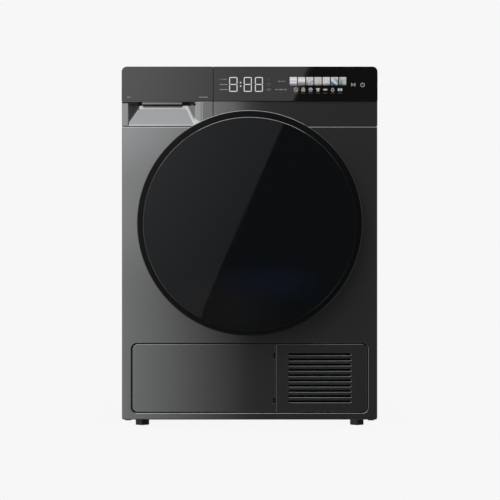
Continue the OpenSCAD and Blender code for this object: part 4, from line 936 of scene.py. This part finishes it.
class DRYER_OT_door(bpy.types.Operator):
    """Turn the door's ring and glass, with the room for the hinge and the finger recess"""
    bl_idname = "dryer.door"
    bl_label = "Door"

    def execute(self, context):
        inner = PANE_R + TRIM + 0.0004
        seat_r = high("door_inner_frame").x
        back_r = seat_r + 0.0033
        rebate_r = GLASS_R - 0.0105
        wall = 0.0025
        front_y, ledge_y = DOOR_Y, high("door_glass").y
        edge_r = DOOR_R - 0.0013
        lip = [(inner + inset, front_y + depth, PANE_DROP) for inset, depth in quarter(0.0005, 4)[::-1]]
        profile = lip + [
            (edge_r - RIM, front_y, RIM_DROP), (edge_r - RIM, front_y + RIM, RIM_DROP),
            (edge_r, front_y + RIM, RIM_DROP), (edge_r, front_y + 0.0125, RIM_DROP),
            (edge_r - 0.0006, front_y + 0.0145, RIM_DROP),
            (back_r + 0.0008, DOOR_BACK_Y - 0.001), (back_r, DOOR_BACK_Y), (seat_r, DOOR_BACK_Y),
            (seat_r, DOOR_BACK_Y - 0.003), (seat_r + wall, DOOR_BACK_Y - 0.003),
            (DOOR_R - wall, front_y + 0.0135), (DOOR_R - wall, ledge_y + 0.002),
            (rebate_r, ledge_y + 0.002), (rebate_r, ledge_y), (inner, ledge_y, PANE_DROP)]
        ring = turned("door_rim", profile, closed=True)
        arms_y = low("hinge_bracket").y + 0.010
        seat_y, behind_y = ledge_y + 0.00005, DOOR_BACK_Y + 0.002
        arm_half, hinge_half, grip_half = 0.0038, 0.057, 0.045
        hinge_x = (0.228, 0.247)
        room = []
        for z in HINGE_ARMS_Z:
            z0, z1 = z - arm_half, z + arm_half
            room.append(((0.196, seat_y, z0), (hinge_x[1], behind_y, z1)))
            room.append(((0.240, arms_y, z0), (DOOR_R + 0.001, behind_y, z1)))
        room.append(((hinge_x[0], seat_y, DOOR_MID - hinge_half),
                     (hinge_x[1], arms_y, DOOR_MID + hinge_half)))
        cut(ring, room)
        cut(ring, [((-DOOR_R + 0.001, DOOR_Y + 0.018, DOOR_MID - grip_half),
                    (-seat_r + 0.012, DOOR_BACK_Y + 0.001, DOOR_MID + grip_half))])
        fit(ring, "door", "door_ring_black", "ring_black", "door_ring")
        thin = 0.0001
        rim = [(edge_r - RIM + thin, front_y + thin), (edge_r - 0.0012, front_y + thin),
               (edge_r - 0.0003, front_y + 0.0007), (edge_r, front_y + RIM - thin),
               (edge_r - RIM + thin, front_y + RIM - thin)]
        line = [(PANE_R + thin, ledge_y - thin), (PANE_R + thin, front_y + thin),
                (PANE_R + TRIM, front_y + 0.0008), (PANE_R + TRIM, ledge_y - thin)]
        for name, section, drop in (("door_rim_trim", rim, RIM_DROP), ("pane_trim", line, PANE_DROP)):
            fit(turned(name, section, drop, True), "door", "door_ring_black", "dark_chrome")
        glass_y = low("door_glass").y
        crown, count = 0.0003, 14
        face = [(PANE_R * k / count, glass_y + crown * (k / count) ** 2) for k in range(count + 1)]
        glass = turned("door_pane", face + [(PANE_R, ledge_y - thin), (0, ledge_y - thin)], PANE_DROP)
        fit(glass, "door", "smoked_glass", "smoked_glass", "door_glass")
        return {"FINISHED"}


class DRYER_OT_worktop(bpy.types.Operator):
    """Build the worktop: a moulded frame with a laminated board let into it"""
    bl_idname = "dryer.worktop"
    bl_label = "Worktop"

    def execute(self, context):
        corner = sizes().corner
        z0 = low("top_panel").z
        radii = (0.0008, 0.0008, corner, corner)
        stations = [(0.0, SEAM_Y + 0.0002)] + [(i, BACK_Y - depth) for i, depth in quarter(0.003, 4)[::-1]]
        bm = bmesh.new()
        loops = chain(bm, lambda i: rounded(-HALF_W, HALF_W, z0, TOP_Z - 0.0006, radii, i, 10), stations)
        fill_face(bm, loops[:1])
        fill_face(bm, loops[-1:])
        fit(closed_piece("worktop_frame", bm), "cabinet", "panel_plastic", "moulded_lacquer", "top_panel")
        side = HALF_W - corner - 0.002
        fit(board("worktop_board", (-side, side, SEAM_Y + 0.008, BACK_Y - 0.016), TOP_Z - 0.004, TOP_Z),
            "cabinet", "panel_plastic", "worktop_laminate")
        return {"FINISHED"}


def board(name, sides, z0, z1):
    """Flat board with rounded corners and eased upper edges."""
    bm = bmesh.new()
    edge, corner = 0.0006, (0.006,) * 4
    stations = [(0.0, z0)] + [(inset, z1 - depth) for inset, depth in quarter(edge, 3)[::-1]]
    loops = [[bm.verts.new((x, y, z)) for x, y in rounded(*sides, corner, inset)] for inset, z in stations]
    bridge_all(bm, loops)
    bm.faces.new(loops[-1])
    bm.faces.new(loops[0][::-1])
    return closed_piece(name, bm)


class DRYER_OT_side_panels(bpy.types.Operator):
    """Press the two steel sides, each with its shallow stamped field"""
    bl_idname = "dryer.side_panels"
    bl_label = "Side panels"

    def execute(self, context):
        for side, sign in (("left", -1), ("right", 1)):
            lo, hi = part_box(side + "_side_panel")
            ys = steps_between(lo.y + 0.002, hi.y - 0.002, 0.006)
            zs = steps_between(lo.z + 0.0015, hi.z - 0.0005, 0.006)
            bm = bmesh.new()
            rim = grid_faces(bm, [[bm.verts.new((sign * (HALF_W - stamped(y, z, lo, hi)), y, z)) for y in ys]
                                  for z in zs])
            y0, y1 = rim[0].co.y, max(v.co.y for v in rim)
            loops = [[bm.verts.new((v.co.x - sign * back, outward(v.co.y, y0, y1, out), v.co.z))
                      for v in rim] for out, back in outward_fold(0.0015, 0.011)[1:]]
            bridge_all(bm, [rim] + loops)
            bmesh.ops.recalc_face_normals(bm, faces=bm.faces)
            if sign * sum(f.normal.x * f.calc_area() for f in bm.faces) < 0:
                bmesh.ops.reverse_faces(bm, faces=bm.faces)
            panel = new_piece(side + "_side", bm, angle=40)
            thicken(panel, 0.0009)
            fit(panel, "cabinet", "steel_panel", "panel_lacquer", side + "_side_panel")
        return {"FINISHED"}


def stamped(y, z, lo, hi):
    """Depth of the stamped field in a side panel."""
    margin_y, margin_z, slope, depth = 0.05, 0.075, 0.014, 0.0022
    inside = min(y - lo.y - margin_y, hi.y - margin_y - y, z - lo.z - margin_z, hi.z - margin_z - z)
    share = min(max(inside / slope, 0.0), 1.0)
    return depth * share * share * (3 - 2 * share)


# ---- Display ----


def marks(name, shapes, mat):
    """One piece of several thin marks on the fascia's glass; a shape is an outline, or one and its hole."""
    bm = bmesh.new()
    for shape in shapes:
        outlines = [shape] if isinstance(shape[0][0], (float, int)) else shape
        loops = [[add_loop(bm, points, y) for y in (FASCIA_Y - MARK_PROUD, FASCIA_Y + MARK_SUNK)]
                 for points in outlines]
        for front, back in loops:
            bridge(bm, front, back)
        for k in (0, 1):
            fill_face(bm, [pair[k] for pair in loops])
    piece = closed_piece(name, bm, smooth=False)
    dress(piece, mat)
    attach(piece, "cabinet")
    return piece


def bar(ax, az, bx, bz, width):
    """Stroke with round ends from a to b."""
    angle = math.degrees(math.atan2(bz - az, bx - ax))
    r = width / 2
    return sweep(bx, bz, r, r, angle - 90, angle + 90, 5) + sweep(ax, az, r, r, angle + 90, angle + 270, 5)


def level_bars(spans, x, z, width):
    """Level strokes at one height, each from one place to another along X."""
    return [bar(x + a, z, x + b, z, width) for a, b in spans]


def label_rows(rows, x):
    """Level strokes of several rows, each a height above the digits' middle, a width and its spans."""
    return [stroke for dz, width, spans in rows for stroke in level_bars(spans, x, DIGIT_Z + dz, width)]


def hoop(x, z, r, width, steps=28):
    """Outer and inner circle of a ring of a given stroke."""
    return [circle(r + d, steps, x, z) for d in (width / 2, -width / 2)]


def arc(x, z, r, width, start, end):
    """Part of a ring, from start to end in degrees."""
    outer, inner = (sweep(x, z, r + d, r + d, start, end, 20) for d in (width / 2, -width / 2))
    return outer + inner[::-1]


def segments(x, z, w, h, stroke):
    """The seven lit segments of an 8 about its middle, with turned-in ends at the corners."""
    gap, turn = stroke * 0.3, stroke * 0.9
    shapes = [bar(x - w / 2 + turn + gap, z + dz, x + w / 2 - turn - gap, z + dz, stroke)
              for dz in (-h / 2, 0, h / 2)]
    for side in (-1, 1):
        for up in (-1, 1):
            sx = x + side * w / 2
            near, far = z + up * (stroke * 0.75), z + up * (h / 2 - turn)
            bend = [(sx - side * turn * (1 - math.cos(a)), far + up * turn * math.sin(a))
                    for a in (0, math.radians(28), math.radians(52))]
            shapes.append(ribbon([(sx, near)] + bend, stroke))
    return shapes


def ribbon(points, width):
    """Stroke with round ends along several points."""
    ways = [Vector((b[0] - a[0], b[1] - a[1])).normalized() for a, b in zip(points, points[1:])]
    half = width / 2
    left, right = [], []
    for i, (x, z) in enumerate(points):
        way = ways[min(i, len(ways) - 1)] + ways[max(i - 1, 0)]
        way.normalize()
        left.append((x - way.y * half, z + way.x * half))
        right.append((x + way.y * half, z - way.x * half))
    ends = []
    for (x, z), way in ((points[-1], ways[-1]), (points[0], -ways[0])):
        angle = math.degrees(math.atan2(way.y, way.x))
        ends.append(sweep(x, z, half, half, angle - 90, angle + 90, 4)[1:-1])
    return right + ends[0] + left[::-1] + ends[1]


MARK_PROUD = 0.00012               # how far a lit mark stands out of the glass, and reaches into it
MARK_SUNK = 0.00005
TILE_W = 0.0168
TILE_H = 0.0198
TILE_PITCH = 0.01928
TILE_RADII = (0.0022, 0.0022, 0.0007, 0.0007)
TILE_X0 = HALF_W - 0.1975          # middle of the first picture
TILE_Z = FASCIA_Z + 0.0463
ICON_Z = FASCIA_Z + 0.0268
ICON_X0 = HALF_W - 0.1915
ICON_PITCH = 0.01722
ICON_R = 0.0044                    # half the width of a sign
CAPTION_Z = ICON_Z - 0.0080        # lines below the signs
DIGIT_Z = FASCIA_Z + 0.0390
DIGIT_H = 0.0325
DIGITS_X = (-0.0382, -0.0043, 0.0218)
DIGIT_W = (0.0174, 0.0168, 0.0166)
COLON_X = (DIGITS_X[0] + DIGITS_X[1]) / 2 + 0.0001
LEFT_X = -0.0694                   # left end of the labels before the digits
SMALL_X = 0.0446                   # middle of the faint labels after the digits
START_X = HALF_W - 0.0573
POWER_X = HALF_W - 0.0352
TOUCH_Z = DIGIT_Z - 0.0004
DRAWER_LABEL_Z = FASCIA_Z + 0.0092

# Level labels: height above the digits' middle, stroke, and spans from LEFT_X
LEFT_LABELS = ((-0.0002, 0.0019, [(0, 0.0176)]), (-0.0119, 0.0019, [(0, 0.0176)]),
               (0.0121, 0.0014, [(0, 0.002), (0.0045, 0.0055), (0.008, 0.0155)]))

# Labels to the right of the digits: height above the digits' middle, stroke, and spans
RIGHT_LABELS = ((0.0073, 0.0024, [(0.0682, 0.0712), (0.0752, 0.0762), (0.0805, 0.0816)]),
                (-0.0120, 0.0024, [(0.0608, 0.0630), (0.0674, 0.0666), (0.0710, 0.0780), (0.0822, 0.0860)]))

# Labels on the drawer, from its left edge
DRAWER_LABELS = (("left", 0.0127, 0.0200), ("right", 0.1817, 0.2016))

# Pictures on the display: name, light colour, dark colour, pattern and its size
PICTURES = (
    ("folds", (0.83, 0.79, 0.85), (0.44, 0.39, 0.47), "bands", 0.0060),
    ("hills", (0.77, 0.76, 0.74), (0.29, 0.30, 0.29), "rings", 0.0140),
    ("clouds", (0.64, 0.64, 0.65), (0.18, 0.19, 0.20), "clouds", 0.0055),
    ("weave", (0.60, 0.59, 0.57), (0.32, 0.31, 0.29), "weave", 0.0050),
    ("petals", (0.69, 0.68, 0.68), (0.46, 0.44, 0.45), "cells", 0.0050),
    ("slants", (0.58, 0.66, 0.71), (0.07, 0.14, 0.18), "slants", 0.0085),
    ("pebbles", (0.52, 0.57, 0.55), (0.02, 0.05, 0.035), "cells", 0.0105),
)


def pattern_value(mat, pattern, size):
    """Number from 0 to 1 over a picture, in its pattern."""
    if pattern in ("bands", "slants", "rings"):
        return waves(mat, "DIAGONAL" if pattern == "slants" else "Z", WAVES_PER_M / size,
                     2.0 if pattern == "bands" else 0.6, "RINGS" if pattern == "rings" else "BANDS",
                     Detail_Scale=1.5)
    if pattern == "clouds":
        return spread(mat, grain(mat, size, (1, 1, 1.6), detail=3), 0, 1, 0.35, 0.62)
    if pattern == "cells":
        far = add_node(mat, "ShaderNodeTexVoronoi", {"feature": "SMOOTH_F1"}, Vector=place(mat),
                       Scale=1 / size).outputs["Distance"]
        return spread(mat, far, 1, 0, 0.15, 0.6)
    bricks = add_node(mat, "ShaderNodeTexBrick", Vector=place(mat), Scale=1 / size, Color1=(1, 1, 1),
                      Color2=(0.5, 0.5, 0.5), Mortar=(0, 0, 0)).outputs["Color"]
    return add_node(mat, "ShaderNodeRGBToBW", Color=bricks).outputs["Val"]


def picture(name, light, dark, pattern, size):
    """Finish of a lit picture, paler towards its upper edge and fading out at its lower one."""
    mat = finish(name, (0.01, 0.01, 0.01), 0.05, IOR=1.6, Emission_Strength=0.9)
    height = add_node(mat, "ShaderNodeSeparateXYZ", Vector=place(mat)).outputs["Z"]
    low_z = TILE_Z - TILE_H / 2
    pale = spread(mat, height, 0, 0.8, low_z + TILE_H * 0.35, low_z + TILE_H)
    paint = mixed(mat, pale, mixed(mat, pattern_value(mat, pattern, size), dark, light), light)
    fade = spread(mat, height, 0.12, 1.0, low_z, low_z + TILE_H * 0.3)
    drive(mat, "Emission Color", mixed(mat, fade, (0.0, 0.0, 0.0), paint))


def icon_shapes(kind, x, z):
    """A plain sign for each programme group, about 10 mm across."""
    r = ICON_R
    if kind == "ring":
        return [hoop(x, z, r, 0.0016), bar(x - 0.0022, z + 0.0022, x + 0.0022, z - 0.0022, 0.0013)]
    if kind == "arch":
        return [[(x - r, z - r), (x + r, z - r)] + sweep(x, z + 0.0002, r, r + 0.001, 0, 180, 10)]
    if kind == "dome":
        return [sweep(x, z - 0.0014, r + 0.0007, r * 1.45, 0, 180, 12),
                bar(x - r * 0.7, z - 0.0036, x + r * 0.7, z - 0.0036, 0.0017)]
    if kind == "shirt":
        half = [(0.0016, 0.0036), (0.0048, 0.0030), (0.0043, 0.0002), (0.0029, 0.0006), (0.0029, -0.0042)]
        return [[(x + a, z + b) for a, b in half[::-1]] + [(x - a, z + b) for a, b in half]]
    if kind == "leaf":
        return [sweep(x, z, 0.0055, 0.0023, 0, 360, 20)[:-1]]
    if kind == "drop":
        ring = [(x + r * 0.9 * math.cos(a) * (1 - 0.28 * max(math.sin(a), 0)),
                 z - 0.0003 + r * 1.1 * math.sin(a)) for a in (math.tau * k / 24 for k in range(24))]
        return [[ring, [(x + 0.45 * (a - x), z - 0.0006 + 0.45 * (b - z)) for a, b in ring]]]
    return [sweep(x + dx, z, 0.0026, 0.0036, 0, 360, 16)[:-1] for dx in (-0.0029, 0.0029)]


ICONS = (("ring", (0.54, 0.41, 0.36)), ("arch", (0.42, 0.35, 0.31)), ("dome", (0.38, 0.41, 0.50)),
         ("shirt", (0.52, 0.51, 0.51)), ("leaf", (0.50, 0.47, 0.46)), ("drop", (0.46, 0.37, 0.36)),
         ("pair", (0.54, 0.58, 0.60)))


class DRYER_OT_display(bpy.types.Operator):
    """Lay the lit digits, pictures, signs and touch marks of the display on the fascia's glass"""
    bl_idname = "dryer.display"
    bl_label = "Display"

    def execute(self, context):
        stroke = sizes().stroke
        for name, x, w in zip(("hours", "tens", "minutes"), DIGITS_X, DIGIT_W):
            marks("digit_" + name, segments(x, DIGIT_Z, w, DIGIT_H, stroke), "digit_light")
        marks("digit_colon", [circle(0.0017, 16, COLON_X, DIGIT_Z + dz) for dz in (0.0042, -0.0040)],
              "digit_light")
        for k, (name, *looks) in enumerate(PICTURES):
            name = "picture_" + name
            x = TILE_X0 + TILE_PITCH * k
            picture(name, *looks)
            marks(name, [rounded(x - TILE_W / 2, x + TILE_W / 2, TILE_Z - TILE_H / 2, TILE_Z + TILE_H / 2,
                                 TILE_RADII)], name)
        for k, (kind, tint) in enumerate(ICONS):
            x = ICON_X0 + ICON_PITCH * k
            lamp("sign_" + kind, tint, 0.75)
            marks("sign_" + kind, icon_shapes(kind, x, ICON_Z), "sign_" + kind)
            marks("sign_label_" + kind, level_bars([(-0.0045, 0.0045)], x, CAPTION_Z, 0.0009), "faint_light")
        marks("labels_left", label_rows(LEFT_LABELS, LEFT_X), "label_light")
        x = SMALL_X
        marks("labels_middle", [
            hoop(x, DIGIT_Z + 0.0121, 0.0016, 0.0011, 16),
            bar(x - 0.0045, DIGIT_Z + 0.0018, x + 0.0045, DIGIT_Z + 0.0018, 0.0019),
            bar(x - 0.003, DIGIT_Z - 0.0024, x + 0.0042, DIGIT_Z - 0.0024, 0.0015),
            rounded(x - 0.0048, x + 0.0052, DIGIT_Z - 0.0152, DIGIT_Z - 0.0092, (0.0012,) * 4),
        ], "faint_light")
        marks("labels_right", label_rows(RIGHT_LABELS, 0), "label_light")
        for name, *span in DRAWER_LABELS:
            label = marks("drawer_label_" + name, level_bars([span], -HALF_W, DRAWER_LABEL_Z, 0.0018),
                          "label_light")
            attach(label, "tank_drawer")
        self.touch_marks()
        return {"FINISHED"}

    def touch_marks(self):
        """Start and power signs to the right of the pictures"""
        x, z = START_X, TOUCH_Z
        left = x - 0.0046
        triangle = [(left, z + 0.0042), (left, z - 0.0042), (x + 0.0004, z)]
        inner = [(left + 0.0012, z + 0.0021), (left + 0.0012, z - 0.0021), (x - 0.0018, z)]
        marks("sign_start", [[triangle, inner]] + [bar(x + dx, z - 0.0032, x + dx, z + 0.0032, 0.0012)
                                                   for dx in (0.0022, 0.0046)], "touch_light")
        x = POWER_X
        marks("sign_power", [arc(x, z - 0.0004, 0.0045, 0.0013, 120, 420),
                             bar(x, z + 0.0008, x, z + 0.0046, 0.0013)], "touch_light")


# ---- Inner parts ----

# CAD parts that are shown as they are, by their finish and the radius of their eased edges
PARTS = {
    ("grey_moulding", 0.0006): ("base_tray", "exchanger_cover"),
    ("galvanised", 0): ("base_cover", "rear_panel", "rear_duct_cover", "cabinet_screws", "motor_shaft"),
    ("circuit_board", 0): ("display_board",),
    ("white_moulding", 0): ("tank_housing",),
    ("black_moulding", 0.0006): ("door_catch",),
    ("galvanised", 0.0004): ("hinge_bracket", "door_hinge", "tension_arm"),
    ("grey_moulding", 0): ("front_bulkhead", "blower_housing", "drum_lifters"),
    ("grey_rubber", 0): ("door_seal",),
    ("wool_felt", 0): ("drum_felts",),
    ("galvanised", 0.0005): ("drum_bearing",),
    ("galvanised", 0.0006): ("motor_housing",),
    ("black_rubber", 0): ("drum_belt", "roller_left", "roller_right"),
    ("compressor_black", 0): ("compressor",),
    ("fin_pack", 0): ("evaporator", "condenser"),
    ("copper_tube", 0): ("refrigerant_pipes",),
    ("black_moulding", 0.0008): ("condensate_pump",),
    ("clear_hose", 0): ("pump_hose",),
    ("white_moulding", 0.001): ("power_board_box",),
    ("black_moulding", 0.0004): ("mains_gland", "cooling_fan_frame", "door_strike"),
    ("grey_moulding", 0.0005): ("door_inner_frame",),
    ("inner_window", 0.0004): ("door_window",),
    ("white_moulding", 0.0015): ("water_tank",),
    ("white_moulding", 0.0005): ("filter_frame",),
    ("filter_gauze", 0): ("filter_mesh",),
    ("stainless", 0): ("drum_shell", "drum_back"),
    ("black_moulding", 0.0003): ("process_fan", "cooling_fan"),
    ("white_moulding", 0.0004): ("idler_pulley",),
    ("blue_levers", 0.0005): ("lever_left", "lever_right"),
    ("foot_black", 0.0012): ("foot_front_left", "foot_front_right", "foot_rear_left", "foot_rear_right"),
}


class DRYER_OT_inner_parts(bpy.types.Operator):
    """Give every part inside the cabinet its finish and eased edges"""
    bl_idname = "dryer.inner_parts"
    bl_label = "Inner parts"

    def execute(self, context):
        for (mat, edge), nodes in PARTS.items():
            for part in (NODES[node] for node in nodes):
                dress(part, mat)
                if edge:
                    weld = part.modifiers.new("Joined corners", "WELD")
                    weld.merge_threshold = 0.00001
                    soften(part, edge, 2, 40)
        return {"FINISHED"}


# ---- Stage ----

CAMERA_DISTANCE = 3.1              # from the fascia's face
CAMERA_X = 0.0009
CAMERA_Z = 0.4149
VIEW_WIDTH = 1.172                 # what the camera takes in at the fascia's face
BACKDROP = 0.93                    # brightness of the backdrop for the camera
FLOOR_HALF = 7                     # half the floor's width

# Two soft lights beside the camera, each cut off along its right edge: one for the glass alone, whose edge
# is slanted, and one for all the rest
CARD_Y = -3.35
CARD_X = (-2.6, 1.2)
CARD_Z = (-0.75, 3.2)
GLASS_EDGE = ((-0.75, -0.360), (0.12, -0.225), (0.387, -0.114), (3.2, 1.119))
PANEL_EDGE = ((-0.75, -0.0426), (3.2, -0.0426))
GLASS_ACROSS = (-0.75, 0.12, 0.545, 0.235)  # brightness falls from the left to the right
GLASS_UP = (0.05, 1.3, 0.68, 1.36)          # and rises with the height
PANEL_ACROSS = (-0.75, 0.05, 0.42, 0.024)
PANEL_UP = ((0.2, 0.6, 0.0, 0.38), (0.72, 1.0, 0.0, 0.6))
PANEL_LIFT = (0.4, 0.27)                    # added at the top: a share of the rest, and an even brightness

# Other lights: place, aim, width, power in watts and height
AIM_Y = -0.28                      # near the front's face
SOFTBOXES = (("left_softbox", (-1.5, -2.9, 2.45), (-0.1, AIM_Y, 0.6), 3.8, 24, 2.4),
             ("overhead_softbox", (0.0, -1.5, 3.1), (0.0, AIM_Y, 0.6), 3.0, 25, 1.3))

# Brightness of the air to the left and to the right by its depth, and the turn from left to right
AIR = (("Y", (-0.92, -0.45, 0.03, 0.5)), ("Y", (-0.5, 0.1, 0.022, 0.5)), ("X", (-0.05, 0.3, 0, 1)))
AIR_BELOW = (-0.85, -0.45, 0.1, 1)                    # dimmer far below
AIR_RIGHT = ((0.40, 0.52, 0, 0.22), (0.68, 0.78, 1, 0))    # a soft glow from the front right


def pale_floor():
    """Pale floor without a horizon, with a painted contact shadow: a little darker where the machine stands.
    """
    mat = bpy.data.materials.new("pale_floor")
    mat.use_nodes = True
    nodes = mat.node_tree.nodes
    nodes.remove(nodes["Principled BSDF"])
    # painted shadow: ambient occlusion dims the floor's glow near the machine
    near = add_node(mat, "ShaderNodeAmbientOcclusion", Distance=0.3).outputs["AO"]
    shine = add_node(mat, "ShaderNodeEmission", Color=(0.93, 0.93, 0.935),
                     Strength=ramp(mat, near, 0, 1, 0.985, 1))
    feed(mat, nodes["Material Output"].inputs["Surface"], shine.outputs[0])
    mesh = bpy.data.meshes.new("pale_floor")
    corners = [(x * FLOOR_HALF, y * FLOOR_HALF, 0) for x, y in ((-1, -1), (1, -1), (1, 1), (-1, 1))]
    mesh.from_pydata(corners, [], [(0, 1, 2, 3)])
    mesh.materials.append(mat)
    piece = bpy.data.objects.new("pale_floor", mesh)
    bpy.context.scene.collection.objects.link(piece)
    piece.visible_glossy = False
    piece.visible_diffuse = False


def area_light(name, place_at, look_at, width, watts, height):
    """Soft light that looks at a point and that the camera doesn't see."""
    data = bpy.data.lights.new(name, "AREA")
    data.shape = "RECTANGLE"
    data.size = width
    data.size_y = height
    data.energy = watts
    light = bpy.data.objects.new(name, data)
    bpy.context.scene.collection.objects.link(light)
    light.location = place_at
    way = Vector(look_at) - Vector(place_at)
    light.rotation_euler = way.to_track_quat("-Z", "Y").to_euler()
    light.visible_camera = False
    return light


def right_edge(owner, z, points):
    """X of a light's right edge at a height, along straight stretches between (z, x) points."""
    edge = points[0][1]
    for (z0, x0), (z1, x1) in zip(points, points[1:]):
        edge = worked(owner, "ADD", ramp(owner, z, z0, z1, 0, x1 - x0, "LINEAR"), edge)
    return edge


def glass_light(owner, x, z):
    """Brightness of the light for the glass."""
    return worked(owner, "MULTIPLY", ramp(owner, x, *GLASS_ACROSS), ramp(owner, z, *GLASS_UP))


def panel_light(owner, x, z):
    """Brightness of the light for all the rest."""
    across = ramp(owner, x, *PANEL_ACROSS)
    up = worked(owner, "ADD", *(ramp(owner, z, *step) for step in PANEL_UP))
    return worked(owner, "MULTIPLY_ADD", up, worked(owner, "MULTIPLY_ADD", across, *PANEL_LIFT), across)


def card(name, points, brightness):
    """Large soft light beside the camera that ends along a line; brightness works out its strength."""
    wide, tall = CARD_X[1] - CARD_X[0], CARD_Z[1] - CARD_Z[0]
    middle = (sum(CARD_X) / 2, CARD_Y, sum(CARD_Z) / 2)
    data = area_light(name, middle, (middle[0], 0, middle[2]), wide, math.pi * wide * tall, tall).data
    data.use_nodes = True
    where = add_node(data, "ShaderNodeNewGeometry").outputs["Position"]
    split = add_node(data, "ShaderNodeSeparateXYZ", Vector=where)
    x, z = split.outputs["X"], split.outputs["Z"]
    within = worked(data, "LESS_THAN", x, right_edge(data, z, points))
    feed(data, data.node_tree.nodes["Emission"].inputs["Strength"],
         worked(data, "MULTIPLY", within, brightness(data, x, z)))


def reach(source, pieces, state):
    """A light shines on these pieces alone (INCLUDE) or on all the others (EXCLUDE)."""
    group = bpy.data.collections.new(source.name + "_reach")
    for piece in pieces:
        group.objects.link(piece)
    for member in group.collection_objects:
        member.light_linking.link_state = state
    source.light_linking.receiver_collection = group


def studio_air():
    """Pale backdrop for the camera; dim in front of the machine and brighter around it."""
    world = bpy.data.worlds.new("studio_air")
    bpy.context.scene.world = world
    world.use_nodes = True
    where = add_node(world, "ShaderNodeTexCoord").outputs["Generated"]
    split = add_node(world, "ShaderNodeSeparateXYZ", Vector=where)
    left, right, side = (ramp(world, split.outputs[axis], *values) for axis, values in AIR)
    glow = worked(world, "MULTIPLY", *(ramp(world, split.outputs["X"], *step) for step in AIR_RIGHT))
    air = worked(world, "MULTIPLY", worked(world, "ADD", mixed(world, side, left, right, "FLOAT"), glow),
                 ramp(world, split.outputs["Z"], *AIR_BELOW))
    seen = add_node(world, "ShaderNodeLightPath").outputs["Is Camera Ray"]
    back = world.node_tree.nodes["Background"]
    feed(world, back.inputs["Strength"], mixed(world, seen, air, BACKDROP, "FLOAT"))
    feed(world, back.inputs["Color"], (1, 1, 1.004))


class DRYER_OT_stage(bpy.types.Operator):
    """Set up the pale floor, the soft lights and the camera"""
    bl_idname = "dryer.stage"
    bl_label = "Stage"

    def execute(self, context):
        pale_floor()
        card("glass_card", GLASS_EDGE, glass_light)
        card("panel_card", PANEL_EDGE, panel_light)
        studio_air()
        for softbox in SOFTBOXES:
            area_light(*softbox)
        data = bpy.data.cameras.new("camera")
        data.sensor_width = 36
        data.lens = data.sensor_width * CAMERA_DISTANCE / VIEW_WIDTH
        camera = bpy.data.objects.new("camera", data)
        context.scene.collection.objects.link(camera)
        camera.location = (CAMERA_X, FASCIA_Y - CAMERA_DISTANCE, CAMERA_Z)
        camera.rotation_euler = (math.pi / 2, 0, 0)
        context.scene.camera = camera
        context.scene.view_settings.view_transform = "Standard"
        return {"FINISHED"}


class DRYER_OT_reflections(bpy.types.Operator):
    """Give the glass its own soft light beside the camera, and all else the other one"""
    bl_idname = "dryer.reflections"
    bl_label = "Reflections"

    def execute(self, context):
        glassy = [stored(name) for name in ("fascia_black", "smoked_glass")]
        panes = [piece for piece in context.scene.objects
                 if piece.type == "MESH" and piece.data.materials and piece.data.materials[0] in glassy]
        reach(bpy.data.objects["glass_card"], panes, "INCLUDE")
        reach(bpy.data.objects["panel_card"], panes, "EXCLUDE")
        return {"FINISHED"}


# ---- Panel and run ----

OPERATORS = (
    DRYER_OT_finishes, DRYER_OT_stage, DRYER_OT_inner_parts, DRYER_OT_side_panels, DRYER_OT_worktop,
    DRYER_OT_front_shell, DRYER_OT_kick_panel, DRYER_OT_door, DRYER_OT_drawer_band, DRYER_OT_fascia,
    DRYER_OT_display, DRYER_OT_reflections,
)


class DRYER_PT_build(bpy.types.Panel):
    """Steps that dress the dryer, in order"""
    bl_idname = "DRYER_PT_build"
    bl_label = "Clothes Dryer"
    bl_space_type = "VIEW_3D"
    bl_region_type = "UI"
    bl_category = "Dryer"

    def draw(self, context):
        for group in (context.scene.dryer_sizes, context.scene.dryer_colours):
            column = self.layout.column(align=True)
            for name in group.__annotations__:
                column.prop(group, name)
        for operator in OPERATORS:
            self.layout.operator(operator.bl_idname)


CLASSES = (DryerSizes, DryerColours, *OPERATORS, DRYER_PT_build)


def register():
    for cls in CLASSES:
        bpy.utils.register_class(cls)
    bpy.types.Scene.dryer_sizes = bpy.props.PointerProperty(type=DryerSizes)
    bpy.types.Scene.dryer_colours = bpy.props.PointerProperty(type=DryerColours)


def unregister():
    del bpy.types.Scene.dryer_colours
    del bpy.types.Scene.dryer_sizes
    for cls in reversed(CLASSES):
        bpy.utils.unregister_class(cls)


def main():
    register()
    for operator in OPERATORS:
        group, step = operator.bl_idname.split(".")
        if getattr(getattr(bpy.ops, group), step)() != {"FINISHED"}:
            raise RuntimeError(f"{operator.bl_label} didn't finish")


if __name__ == "__main__":
    main()
